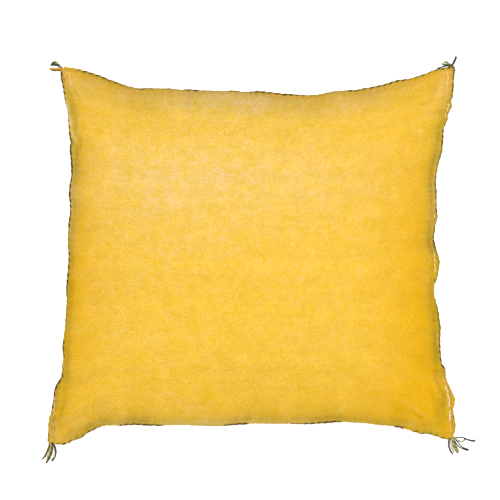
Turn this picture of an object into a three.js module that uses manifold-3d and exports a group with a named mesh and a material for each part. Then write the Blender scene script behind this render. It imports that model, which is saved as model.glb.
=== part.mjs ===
// A square throw cushion that lies on its back: one filled body of handwoven cloth, a bundle of silk along
// each side and a tassel of yarn ends at each corner. Sizes are in millimetres. +Z is up, out of the face,
// +Y points to the top edge and +X to the right edge.
import * as THREE from "three";
import { mergeVertices } from "three/addons/utils/BufferGeometryUtils.js";
import Module from "manifold-3d";

const wasm = await Module();
wasm.setup();

// The filled body
const SEAM_HEIGHT = 52; // of the seam above the floor
const FACE_CROWN = 65; // from the seam up to the middle of the face
const BELLY_DEPTH = 82; // how far the underside would swell below the seam with no floor under it
const FLOOR_ROUNDING = 10; // height over which the underside turns into its flat patch
const LIP_THICKNESS = 3; // of the two sewn layers at the seam
const LIP_WIDTH = 5;
const CROWN_POWER = 2.5; // larger is flatter in the middle
const EDGE_POWER = 0.58; // smaller is steeper at the seam
const COLUMNS = 40; // cells across the face
const ROWS = 46; // cells up the face
const EDGE_CROWDING = 0.6; // 0 spaces the cells evenly, 1 crowds them at the seam
const SWELL_FADE = 3; // how fast the swells reach their full height inside the seam

// The bundle along each side, whose outer line is the outline of the cushion
const BUNDLE_RADIUS = 1.6;
const BUNDLE_GAP = 1.1; // from the bundle to the body
const BUNDLE_SIDES = 8;
const BUNDLE_STEPS = 56;
const BUNDLE_END = 0.004; // share of a side left free at each end, for the tassel's knot

// The tassels
const KNOT_RADII = { x: 3.6, y: 3.4, z: 3 };
const STRAND_STEPS = 7;

// The corners of the outline. height is above the floor.
const CORNERS = {
  bottomLeft: { x: -250.6, y: -232.1, height: 43 },
  bottomRight: { x: 249.4, y: -227.2, height: 42 },
  topRight: { x: 249.4, y: 232.1, height: 45 },
  topLeft: { x: -234.6, y: 230.9, height: 46 },
};

// The four sides of the outline. at is the share of the way along, inward is how far the side is drawn in
// from the straight line between its corners, and rise is how far the seam wanders above SEAM_HEIGHT.
const SIDES = {
  bottom: {
    from: "bottomLeft",
    to: "bottomRight",
    insideOnLeft: true,
    stations: [
      { at: 0.04, inward: 1, rise: -8 },
      { at: 0.085, inward: 9.6, rise: -6 },
      { at: 0.115, inward: 17.4, rise: -4 },
      { at: 0.155, inward: 20.6, rise: -2 },
      { at: 0.25, inward: 20.8, rise: 0 },
      { at: 0.37, inward: 18.4, rise: 1 },
      { at: 0.43, inward: 17.8, rise: 2 },
      { at: 0.485, inward: 20.6, rise: 3 },
      { at: 0.58, inward: 20.4, rise: 1 },
      { at: 0.7, inward: 22.2, rise: 0 },
      { at: 0.78, inward: 19.4, rise: -1 },
      { at: 0.86, inward: 15, rise: -3 },
      { at: 0.91, inward: 8.8, rise: -6 },
      { at: 0.96, inward: 3.2, rise: -9 },
    ],
  },
  top: {
    from: "topLeft",
    to: "topRight",
    insideOnLeft: false,
    stations: [
      { at: 0.045, inward: 2.5, rise: -5 },
      { at: 0.092, inward: 8.6, rise: -4 },
      { at: 0.168, inward: 21.5, rise: -2 },
      { at: 0.214, inward: 24.8, rise: 0 },
      { at: 0.38, inward: 27, rise: 1 },
      { at: 0.474, inward: 29.6, rise: 0 },
      { at: 0.58, inward: 33, rise: -1 },
      { at: 0.65, inward: 33.4, rise: 0 },
      { at: 0.7, inward: 29.4, rise: 2 },
      { at: 0.75, inward: 27, rise: 2 },
      { at: 0.811, inward: 21.5, rise: 0 },
      { at: 0.872, inward: 14.6, rise: -3 },
      { at: 0.934, inward: 7.2, rise: -6 },
    ],
  },
  left: {
    from: "bottomLeft",
    to: "topLeft",
    insideOnLeft: false,
    stations: [
      { at: 0.05, inward: 0, rise: -8 },
      { at: 0.115, inward: 3, rise: -6 },
      { at: 0.165, inward: 9.6, rise: -4 },
      { at: 0.22, inward: 13.4, rise: -1 },
      { at: 0.3, inward: 13.6, rise: 1 },
      { at: 0.43, inward: 15.2, rise: 0 },
      { at: 0.54, inward: 14.8, rise: -1 },
      { at: 0.66, inward: 14.4, rise: 0 },
      { at: 0.73, inward: 16.8, rise: 2 },
      { at: 0.8, inward: 13.4, rise: 0 },
      { at: 0.89, inward: 6.6, rise: -4 },
      { at: 0.95, inward: 2.4, rise: -5 },
    ],
  },
  right: {
    from: "bottomRight",
    to: "topRight",
    insideOnLeft: true,
    stations: [
      { at: 0.04, inward: 0.2, rise: -9 },
      { at: 0.115, inward: 2.2, rise: -7 },
      { at: 0.16, inward: 9.6, rise: -4 },
      { at: 0.23, inward: 16, rise: -1 },
      { at: 0.33, inward: 18.8, rise: 1 },
      { at: 0.415, inward: 24.4, rise: 2 },
      { at: 0.475, inward: 17.8, rise: 0 },
      { at: 0.55, inward: 24.6, rise: 1 },
      { at: 0.6, inward: 20.8, rise: -1 },
      { at: 0.68, inward: 22.2, rise: 0 },
      { at: 0.78, inward: 16, rise: 0 },
      { at: 0.88, inward: 8, rise: -3 },
      { at: 0.95, inward: 2.4, rise: -6 },
    ],
  },
};

// Soft hollows and swells in the face. halfLong and halfWide are the reach along and across the line that
// turn gives, in degrees from +X, and lift is the height in the middle.
const SWELLS = [
  { x: -40, y: -158, halfLong: 52, halfWide: 26, turn: -10, lift: -4 },
  { x: -20, y: -196, halfLong: 16, halfWide: 14, turn: 90, lift: -4 },
  { x: -218, y: 165, halfLong: 42, halfWide: 6, turn: 86, lift: -3.5 },
  { x: 205, y: -182, halfLong: 40, halfWide: 9, turn: -46, lift: 4 },
  { x: 186, y: -196, halfLong: 34, halfWide: 8, turn: -30, lift: -3 },
  { x: 212, y: -150, halfLong: 34, halfWide: 9, turn: -68, lift: -3 },
  { x: -206, y: -186, halfLong: 40, halfWide: 10, turn: 42, lift: 3.5 },
  { x: -190, y: -200, halfLong: 30, halfWide: 8, turn: 24, lift: -3 },
  { x: 200, y: 184, halfLong: 40, halfWide: 10, turn: 44, lift: 3 },
  { x: -190, y: 186, halfLong: 42, halfWide: 10, turn: -42, lift: 3 },
  { x: 214, y: 8, halfLong: 30, halfWide: 9, turn: 10, lift: 2.5 },
  { x: 206, y: -28, halfLong: 34, halfWide: 10, turn: -8, lift: -3 },
  { x: 70, y: 60, halfLong: 120, halfWide: 90, turn: 20, lift: 2.5 },
  { x: -110, y: -60, halfLong: 110, halfWide: 80, turn: -30, lift: 2 },
];

// The tassels. knot is the knot's place from the body's corner. A strand starts at the knot's middle plus start,
// sets off at heading, in degrees from +X, and turns by bend over its length, while it sinks by droop.
const TASSELS = {
  tassel_bottom_right: {
    corner: "bottomRight",
    knot: { x: 2.4, y: -3.4 },
    colour: 0x5b6257,
    strands: [
      { start: [-2.6, -1], heading: -98, length: 19, bend: 26, droop: 2, width: 1.9 },
      { start: [-0.8, -1.6], heading: -96, length: 18, bend: 48, droop: 0, width: 1.7 },
      { start: [1, -1.6], heading: -82, length: 18.5, bend: 32, droop: 3, width: 2.3 },
      { start: [2.2, -1.4], heading: -60, length: 22.5, bend: 30, droop: 0, width: 2.2 },
      { start: [2, 1.2], heading: 10, length: 28, bend: -28, droop: 1, width: 2 },
      { start: [2.6, -0.4], heading: -34, length: 14, bend: 56, droop: 4, width: 1.5 },
    ],
  },
  tassel_bottom_left: {
    corner: "bottomLeft",
    knot: { x: -2.2, y: -3.4 },
    colour: 0x4a4f45,
    strands: [
      { start: [-1.6, -0.6], heading: -92, length: 23, bend: -50, droop: 1, width: 2 },
      { start: [-0.2, -1.6], heading: -90, length: 20, bend: -38, droop: 6, width: 1.6 },
      { start: [1.6, -1.4], heading: -88, length: 24.5, bend: -42, droop: 0, width: 1.9 },
      { start: [2.6, -0.6], heading: -64, length: 22.5, bend: -66, droop: 2, width: 1.9 },
    ],
  },
  tassel_top_left: {
    corner: "topLeft",
    knot: { x: -3.2, y: 2.6 },
    colour: 0x545a55,
    strands: [
      { start: [-1.4, 1.2], heading: 140, length: 18.5, bend: 46, droop: 2, width: 3 },
      { start: [-0.8, 1.8], heading: 122, length: 12.5, bend: 22, droop: -5, width: 1.7 },
      { start: [-2, -0.4], heading: 188, length: 15.5, bend: -10, droop: 2, width: 1.9 },
      { start: [-1.6, -1.8], heading: 198, length: 11, bend: -24, droop: 4, width: 1.7 },
    ],
  },
  tassel_top_right: {
    corner: "topRight",
    knot: { x: 1.6, y: 3.6 },
    colour: 0x565c52,
    strands: [
      { start: [1.2, 1], heading: 48, length: 13.5, bend: 34, droop: 0, width: 2.6 },
      { start: [-1.8, 1.4], heading: 168, length: 20, bend: 32, droop: -10, width: 1.8 },
      { start: [-0.4, 2], heading: 130, length: 8.5, bend: 22, droop: 0, width: 1.6 },
      { start: [-1.6, 1.6], heading: 158, length: 11.5, bend: 8, droop: -1, width: 1.6 },
    ],
  },
};

const MATERIALS = {
  cloth: new THREE.MeshStandardMaterial({ color: 0xf8c94f, roughness: 0.75, metalness: 0 }),
  bundle: new THREE.MeshStandardMaterial({ color: 0xa8924a, roughness: 0.6, metalness: 0 }),
};

// A corner of the body, which is inside the outline by the bundle along each side.
function bodyCorner(name) {
  const { x, y, height } = CORNERS[name];
  const inset = 2 * BUNDLE_RADIUS + BUNDLE_GAP;
  return new THREE.Vector3(x - Math.sign(x) * inset, y - Math.sign(y) * inset, height);
}

// The body's seam along one side, as a smooth curve from corner to corner.
function seamCurve(side) {
  const start = bodyCorner(side.from);
  const end = bodyCorner(side.to);
  const along = new THREE.Vector2(end.x - start.x, end.y - start.y).normalize();
  const toInside = side.insideOnLeft ? 1 : -1;
  const inner = new THREE.Vector2(-along.y, along.x).multiplyScalar(toInside);
  const points = side.stations.map(({ at, inward, rise }) => {
    const point = new THREE.Vector3().lerpVectors(start, end, at);
    point.x += inner.x * inward;
    point.y += inner.y * inward;
    point.z = SEAM_HEIGHT + rise;
    return point;
  });
  return new THREE.CatmullRomCurve3([start, ...points, end]);
}

// The point of the seam's surface at shares u and v of the way across, spread evenly between the four sides.
function seamPoint(sides, u, v) {
  const blend = (a, b, share) => new THREE.Vector3().lerpVectors(a, b, share);
  const acrossV = blend(sides.bottom.getPointAt(u), sides.top.getPointAt(u), v);
  const acrossU = blend(sides.left.getPointAt(v), sides.right.getPointAt(v), u);
  const low = blend(sides.bottom.getPointAt(0), sides.bottom.getPointAt(1), u);
  const high = blend(sides.top.getPointAt(0), sides.top.getPointAt(1), u);
  return acrossV.add(acrossU).sub(blend(low, high, v));
}

// How full the cushion is at a share of the way across: 0 on the lip and 1 in the middle.
function fullness(share, length) {
  const lip = LIP_WIDTH / length;
  const inside = THREE.MathUtils.clamp((share - lip) / (1 - 2 * lip), 0, 1);
  return (1 - Math.abs(2 * inside - 1) ** CROWN_POWER) ** EDGE_POWER;
}

// The height that the soft hollows and swells add at a point of the face.
function swellAt(x, y) {
  return SWELLS.reduce((sum, swell) => {
    const turn = THREE.MathUtils.degToRad(swell.turn);
    const along = (x - swell.x) * Math.cos(turn) + (y - swell.y) * Math.sin(turn);
    const across = (y - swell.y) * Math.cos(turn) - (x - swell.x) * Math.sin(turn);
    const distance = (along / swell.halfLong) ** 2 + (across / swell.halfWide) ** 2;
    return sum + swell.lift * Math.exp(-distance);
  }, 0);
}

// A height that settles softly onto the floor and never goes below it.
function onFloor(height) {
  if (height >= FLOOR_ROUNDING) return height;
  if (height <= -FLOOR_ROUNDING) return 0;
  return (height + FLOOR_ROUNDING) ** 2 / (4 * FLOOR_ROUNDING);
}

// The shares of the way across at which the face's cells meet, closer together near the seam.
function gridShares(count) {
  return Array.from({ length: count + 1 }, (_, i) => {
    const even = i / count;
    const crowded = (1 - Math.cos(Math.PI * even)) / 2;
    return THREE.MathUtils.lerp(even, crowded, EDGE_CROWDING);
  });
}

// The filled body: a crowned face and an underside that lies on the floor, joined by the thin seam.
function makeCushion() {
  const sides = {};
  for (const name of Object.keys(SIDES)) sides[name] = seamCurve(SIDES[name]);
  const width = sides.bottom.getLength();
  const length = sides.left.getLength();
  const face = [];
  const underside = [];
  for (const v of gridShares(ROWS)) {
    for (const u of gridShares(COLUMNS)) {
      const seam = seamPoint(sides, u, v);
      const full = fullness(u, width) * fullness(v, length);
      const swell = swellAt(seam.x, seam.y) * Math.min(1, SWELL_FADE * full);
      const top = seam.z + LIP_THICKNESS / 2 + FACE_CROWN * full + swell;
      const bottom = onFloor(seam.z - LIP_THICKNESS / 2 - BELLY_DEPTH * full);
      face.push(seam.x, seam.y, top);
      underside.push(seam.x, seam.y, bottom);
    }
  }
  const row = COLUMNS + 1;
  const faceSize = row * (ROWS + 1);
  const indices = [];
  const quad = (a, b, c, d) => indices.push(a, b, c, a, c, d);
  for (let j = 0; j < ROWS; j++) {
    for (let i = 0; i < COLUMNS; i++) {
      const a = j * row + i;
      const corners = [a, a + 1, a + row + 1, a + row];
      // The diagonal of a cell runs towards the nearest corner of the cushion.
      if (i < COLUMNS / 2 !== j < ROWS / 2) corners.push(corners.shift());
      quad(...corners);
      quad(...corners.map((corner) => faceSize + corner).reverse());
    }
  }
  const sew = (a, b) => quad(faceSize + a, faceSize + b, b, a);
  for (let i = 0; i < COLUMNS; i++) {
    sew(i, i + 1);
    sew(ROWS * row + i + 1, ROWS * row + i);
  }
  for (let j = 0; j < ROWS; j++) {
    sew((j + 1) * row, j * row);
    sew(j * row + COLUMNS, (j + 1) * row + COLUMNS);
  }
  const geometry = new THREE.BufferGeometry();
  geometry.setAttribute("position", new THREE.Float32BufferAttribute([...face, ...underside], 3));
  geometry.setIndex(indices);
  geometry.computeVertexNormals();
  return named("cushion", geometry, MATERIALS.cloth);
}

// The bundle of silk along one side: a tube beside the seam that stops short of the knots at its ends.
function makeBundle(name) {
  const seam = seamCurve(SIDES[name]);
  const toOutside = SIDES[name].insideOnLeft ? 1 : -1;
  const points = Array.from({ length: BUNDLE_STEPS + 1 }, (_, i) => {
    const share = THREE.MathUtils.lerp(BUNDLE_END, 1 - BUNDLE_END, i / BUNDLE_STEPS);
    const tangent = seam.getTangentAt(share).setZ(0).normalize();
    const outward = new THREE.Vector3(tangent.y, -tangent.x, 0).multiplyScalar(toOutside);
    return seam.getPointAt(share).addScaledVector(outward, BUNDLE_RADIUS + BUNDLE_GAP);
  });
  const geometry = new THREE.ExtrudeGeometry(roundSection(BUNDLE_RADIUS, BUNDLE_SIDES), {
    steps: BUNDLE_STEPS,
    extrudePath: new THREE.CatmullRomCurve3(points),
  });
  return named(`edge_bundle_${name}`, geometry, MATERIALS.bundle);
}

function roundSection(radius, sides) {
  const points = Array.from({ length: sides }, (_, i) => {
    const angle = (2 * Math.PI * (i + 0.5)) / sides;
    return new THREE.Vector2(radius * Math.cos(angle), radius * Math.sin(angle));
  });
  return new THREE.Shape(points);
}

// One yarn end, as a square bar that bends and sinks from the knot's middle.
function strandGeometry(strand) {
  const points = [];
  let [x, y] = strand.start;
  const step = strand.length / STRAND_STEPS;
  for (let i = 0; i <= STRAND_STEPS; i++) {
    const share = i / STRAND_STEPS;
    points.push(new THREE.Vector3(x, y, -strand.droop * share));
    const heading = THREE.MathUtils.degToRad(strand.heading + strand.bend * (share + 0.5 / STRAND_STEPS));
    x += step * Math.cos(heading);
    y += step * Math.sin(heading);
  }
  return new THREE.ExtrudeGeometry(roundSection(strand.width / 2, 4), {
    steps: STRAND_STEPS,
    extrudePath: new THREE.CatmullRomCurve3(points),
  });
}

// A tassel: its yarn ends fused at their roots in the knot.
function makeTassel(name) {
  const { corner, knot, colour, strands } = TASSELS[name];
  const ball = new THREE.SphereGeometry(1, 10, 7);
  ball.scale(KNOT_RADII.x, KNOT_RADII.y, KNOT_RADII.z);
  let solid = solidOf(ball);
  for (const strand of strands) solid = solid.add(solidOf(strandGeometry(strand)));
  const material = new THREE.MeshStandardMaterial({ color: colour, roughness: 0.85, metalness: 0 });
  const mesh = named(name, geometryOf(solid), material);
  mesh.position.copy(bodyCorner(corner)).add(new THREE.Vector3(knot.x, knot.y, 0));
  return mesh;
}

// A closed three.js geometry as a manifold-3d solid.
function solidOf(geometry) {
  const bare = geometry.clone();
  bare.deleteAttribute("normal");
  bare.deleteAttribute("uv");
  const merged = mergeVertices(bare, 1e-3);
  return new wasm.Manifold(
    new wasm.Mesh({
      numProp: 3,
      vertProperties: merged.attributes.position.array,
      triVerts: new Uint32Array(merged.index.array),
    }),
  );
}

// A manifold-3d solid as a three.js geometry.
function geometryOf(solid) {
  const { vertProperties, triVerts } = solid.getMesh();
  const geometry = new THREE.BufferGeometry();
  geometry.setAttribute("position", new THREE.BufferAttribute(vertProperties, 3));
  geometry.setIndex(new THREE.BufferAttribute(triVerts, 1));
  geometry.computeVertexNormals();
  return geometry;
}

function named(name, geometry, material) {
  const mesh = new THREE.Mesh(geometry, material);
  mesh.name = name;
  return mesh;
}

const model = new THREE.Group();
model.add(makeCushion());
for (const name of Object.keys(SIDES)) model.add(makeBundle(name));
for (const name of Object.keys(TASSELS)) model.add(makeTassel(name));

// The origin is the middle of the whole cushion's outline, at the floor.
const extent = new THREE.Box3().setFromObject(model, true);
const middle = extent.getCenter(new THREE.Vector3());
model.position.set(-middle.x, -middle.y, -extent.min.z);

const part = new THREE.Group();
part.add(model);
export default part;
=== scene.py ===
"""A square throw cushion of golden handwoven cloth that lies on its back, seen from straight above.

Its edge is whipped with dark yarn and silk, and loose yarn ends leave its corners. +Z is up, +Y points
to the top edge and +X to the right edge. The tables are in millimetres, and MM turns them into metres.
"""
import math

import bpy
import numpy as np
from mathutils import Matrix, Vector
from mathutils.bvhtree import BVHTree


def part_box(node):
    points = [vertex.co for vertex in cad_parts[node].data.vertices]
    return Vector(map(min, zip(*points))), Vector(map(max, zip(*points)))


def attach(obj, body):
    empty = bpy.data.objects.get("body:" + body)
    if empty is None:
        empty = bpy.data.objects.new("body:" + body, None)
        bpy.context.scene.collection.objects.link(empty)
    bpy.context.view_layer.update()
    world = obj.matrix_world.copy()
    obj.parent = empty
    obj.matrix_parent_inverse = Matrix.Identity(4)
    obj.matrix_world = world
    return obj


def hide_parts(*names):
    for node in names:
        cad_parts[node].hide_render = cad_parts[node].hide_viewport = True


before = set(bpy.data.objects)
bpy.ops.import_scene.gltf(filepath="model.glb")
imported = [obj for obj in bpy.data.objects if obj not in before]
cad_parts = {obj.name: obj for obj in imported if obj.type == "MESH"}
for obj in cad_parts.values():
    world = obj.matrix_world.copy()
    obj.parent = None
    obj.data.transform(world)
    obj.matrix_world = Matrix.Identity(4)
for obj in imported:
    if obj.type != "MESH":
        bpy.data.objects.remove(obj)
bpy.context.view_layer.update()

MM = 0.001
SEED = 7

# The camera looks straight down, and the photo's frame spans VIEW_WIDTH at the height of the seam. The
# camera's, the lamp's and the floor's measures are in metres, if nothing else is said.
VIEW_WIDTH = 0.6173
VIEW_MIDDLE = (-0.0108, 0.0117)
EYE_DISTANCE = 3.0  # from the seam
SENSOR = 36.0  # mm

# The light and the floor
SKY_STRENGTH = 0.5
KEY_POWER = 176.0
KEY_SIZE = 1.8
KEY_PLACE = (0.2, 0.3, 4.6)
FLOOR_GLOW = 0.42
FLOOR_SIZE = 16.0
FLOOR_DROP = 0.2  # below the flat patch, in mm

# The filled body, in mm
SEAM_HEIGHT = 52.0
FACE_CROWN = 65.0
BELLY_DEPTH = 82.0
FLOOR_ROUNDING = 10.0
LIP_THICKNESS = 3.0
CROWN_POWER = 2.5
EDGE_POWER = 0.58
COLUMNS = 112
ROWS = 104
EDGE_CROWDING = 0.6
SWELL_FADE = 3.0
HIDDEN_REACH = 4.9  # of the cloth past the sewn seam, where it hides the cord
SHOWN_REACH = 3.05  # and where the cord stands out
CORNER_REACH = 4.6
CORNER_FADE = 0.04  # share of a side over which its edge turns to meet the next one

# The edge bundle of the CAD model, which lies between the seam and the outline.
EDGE_RADIUS = 1.6
EDGE_GAP = 1.1
SEAM_TO_OUTLINE = 2 * EDGE_RADIUS + EDGE_GAP

# The cloth simulation
START_SHARE = 0.93  # of the full crown, before the pressure swells it
PRESSURE = 4.0
LAST_FRAME = 20
MOST_MOVE = 6.0
HELD_HEIGHT = 0.02  # cloth this low lies on the floor and stays there

# The corners of the outline: across, up, height of the seam.
CORNERS = {
    "bottom_left": (-250.6, -232.1, 43.0),
    "bottom_right": (249.4, -227.2, 42.0),
    "top_right": (249.4, 232.1, 45.0),
    "top_left": (-234.6, 230.9, 46.0),
}

# Each side's first and last corner, and 1 if the outside is on the right on the way along, or else -1.
SIDE_ENDS = {
    "bottom": ("bottom_left", "bottom_right", 1),
    "top": ("top_left", "top_right", -1),
    "left": ("bottom_left", "top_left", -1),
    "right": ("bottom_right", "top_right", 1),
}

# Each side's line: share of the way along, how far it is drawn in, how far it rises above the seam.
SIDE_LINES = {
    "bottom": (
        (0.04, 1, -8), (0.085, 9.6, -6), (0.115, 17.4, -4), (0.155, 20.6, -2), (0.25, 20.8, 0),
        (0.37, 18.4, 1), (0.43, 17.8, 2), (0.485, 20.6, 3), (0.58, 20.4, 1), (0.7, 22.2, 0),
        (0.78, 19.4, -1), (0.86, 15, -3), (0.91, 8.8, -6), (0.96, 3.2, -9),
    ),
    "top": (
        (0.045, 2.5, -5), (0.092, 8.6, -4), (0.168, 21.5, -2), (0.214, 24.8, 0), (0.38, 27, 1),
        (0.474, 29.6, 0), (0.58, 33, -1), (0.65, 33.4, 0), (0.7, 29.4, 2), (0.75, 27, 2),
        (0.811, 21.5, 0), (0.872, 14.6, -3), (0.934, 7.2, -6),
    ),
    "left": (
        (0.05, 0, -8), (0.115, 3, -6), (0.165, 9.6, -4), (0.22, 13.4, -1), (0.3, 13.6, 1),
        (0.43, 15.2, 0), (0.54, 14.8, -1), (0.66, 14.4, 0), (0.73, 16.8, 2), (0.8, 13.4, 0),
        (0.89, 6.6, -4), (0.95, 2.4, -5),
    ),
    "right": (
        (0.04, 0.2, -9), (0.115, 2.2, -7), (0.16, 9.6, -4), (0.23, 16, -1), (0.33, 18.8, 1),
        (0.415, 24.4, 2), (0.475, 17.8, 0), (0.55, 24.6, 1), (0.6, 20.8, -1), (0.68, 22.2, 0),
        (0.78, 16, 0), (0.88, 8, -3), (0.95, 2.4, -6),
    ),
}

# Small waves in the finished edge: share of the way along, how far out of its even line, in mm.
EDGE_WAVES = {
    "bottom": (
        (0, 1.5), (0.025, 3.2), (0.045, 0), (0.07, 0.6), (0.087, -2), (0.11, -0.9), (0.135, -1.2),
        (0.17, 1.6), (0.19, 0.2), (0.21, -0.3), (0.25, 0.5), (0.275, 0.6), (0.305, -1.5), (0.335, -2.5),
        (0.36, -1.8), (0.4, -2.2), (0.435, -1.4), (0.46, -1.2), (0.49, -0.3), (0.52, -1.2), (0.6, -0.4),
        (0.625, 1), (0.655, 1.4), (0.69, 0.8), (0.71, -0.2), (0.78, -1.2), (0.82, 0.2), (0.85, -0.7),
        (0.895, -1), (0.93, 0.6), (0.945, -1.8), (0.97, -0.3), (0.985, 1.8), (1, 0.8),
    ),
    "top": (
        (0, 1.6), (0.02, 1.2), (0.045, -0.5), (0.08, -1.2), (0.11, -2.2), (0.14, -2.3), (0.17, -2),
        (0.195, -1.7), (0.24, 0.6), (0.27, 0.8), (0.3, -0.4), (0.33, -0.5), (0.36, -2.2), (0.385, -1.9),
        (0.43, -0.2), (0.445, 0), (0.458, -0.8), (0.475, -0.4), (0.5, 1.4), (0.545, 0.9), (0.56, 0),
        (0.59, 0.1), (0.62, -0.9), (0.655, -0.8), (0.68, -0.6), (0.72, -0.8), (0.735, -0.5),
        (0.755, -1.5), (0.77, -1), (0.785, -1.4), (0.83, -1.3), (0.86, -0.1), (0.892, -2.1), (0.92, -1.5),
        (0.94, -1), (0.955, 1), (1, 0.8),
    ),
    "left": (
        (0, 2.2), (0.05, 1.1), (0.07, -0.4), (0.105, -1.1), (0.13, 0.9), (0.15, 0.4), (0.168, -1.9),
        (0.18, -2.5), (0.205, -0.1), (0.22, -0.8), (0.24, 0.4), (0.255, 1.3), (0.28, -0.3), (0.305, -1.5),
        (0.335, -1.6), (0.37, -1.1), (0.39, -1), (0.41, 0.4), (0.44, 0), (0.48, -0.8), (0.5, -1.5),
        (0.53, 0), (0.58, 0), (0.62, -1.9), (0.645, -1.6), (0.66, 0.3), (0.695, 1.1), (0.71, 0.4),
        (0.755, 0.8), (0.794, 0.9), (0.807, -1.2), (0.83, -0.2), (0.87, -1.6), (0.895, -2.7),
        (0.91, -1.6), (0.93, -0.5), (0.955, 0.2), (0.985, 2.2), (1, 1.6),
    ),
    "right": (
        (0, 0), (0.015, 2.4), (0.03, 3), (0.055, 0.7), (0.07, -0.4), (0.082, 1.6), (0.095, 3.2),
        (0.12, 0), (0.155, -0.8), (0.18, 1.4), (0.197, -1.2), (0.24, -0.5), (0.265, 0), (0.295, 1.2),
        (0.32, 0.1), (0.35, -0.1), (0.38, -1.1), (0.405, -0.2), (0.435, 2), (0.455, 0.6), (0.49, -0.4),
        (0.508, -1.7), (0.53, -1.3), (0.56, 0.6), (0.585, -0.5), (0.605, 1), (0.62, -0.5), (0.67, 1),
        (0.69, -0.8), (0.735, -1), (0.76, -0.1), (0.78, 1.6), (0.81, 0.4), (0.845, -1.4), (0.868, 1.8),
        (0.885, 1), (0.906, 4.4), (0.92, 1.6), (0.932, 2.8), (0.95, 2.2), (0.975, 1.6), (1, 1.2),
    ),
}

# How wide the flat sewn lip is: share of the way along, width.
LIP_WIDTHS = {
    "bottom": ((0, 8), (0.05, 6), (0.15, 3.5), (0.86, 3.5), (0.92, 6), (1, 8)),
    "top": ((0, 8), (0.08, 4), (0.5, 3.5), (0.9, 4), (1, 7)),
    "left": ((0, 8), (0.13, 8), (0.19, 4), (0.76, 3.5), (0.81, 6.5), (0.94, 6.5), (1, 8)),
    "right": (
        (0, 9), (0.16, 8.5), (0.2, 4), (0.25, 5), (0.29, 4), (0.42, 4), (0.46, 6.5), (0.51, 4.5),
        (0.56, 3.5), (0.61, 5.5), (0.64, 4), (0.84, 4), (0.88, 6.5), (1, 8),
    ),
}

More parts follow.
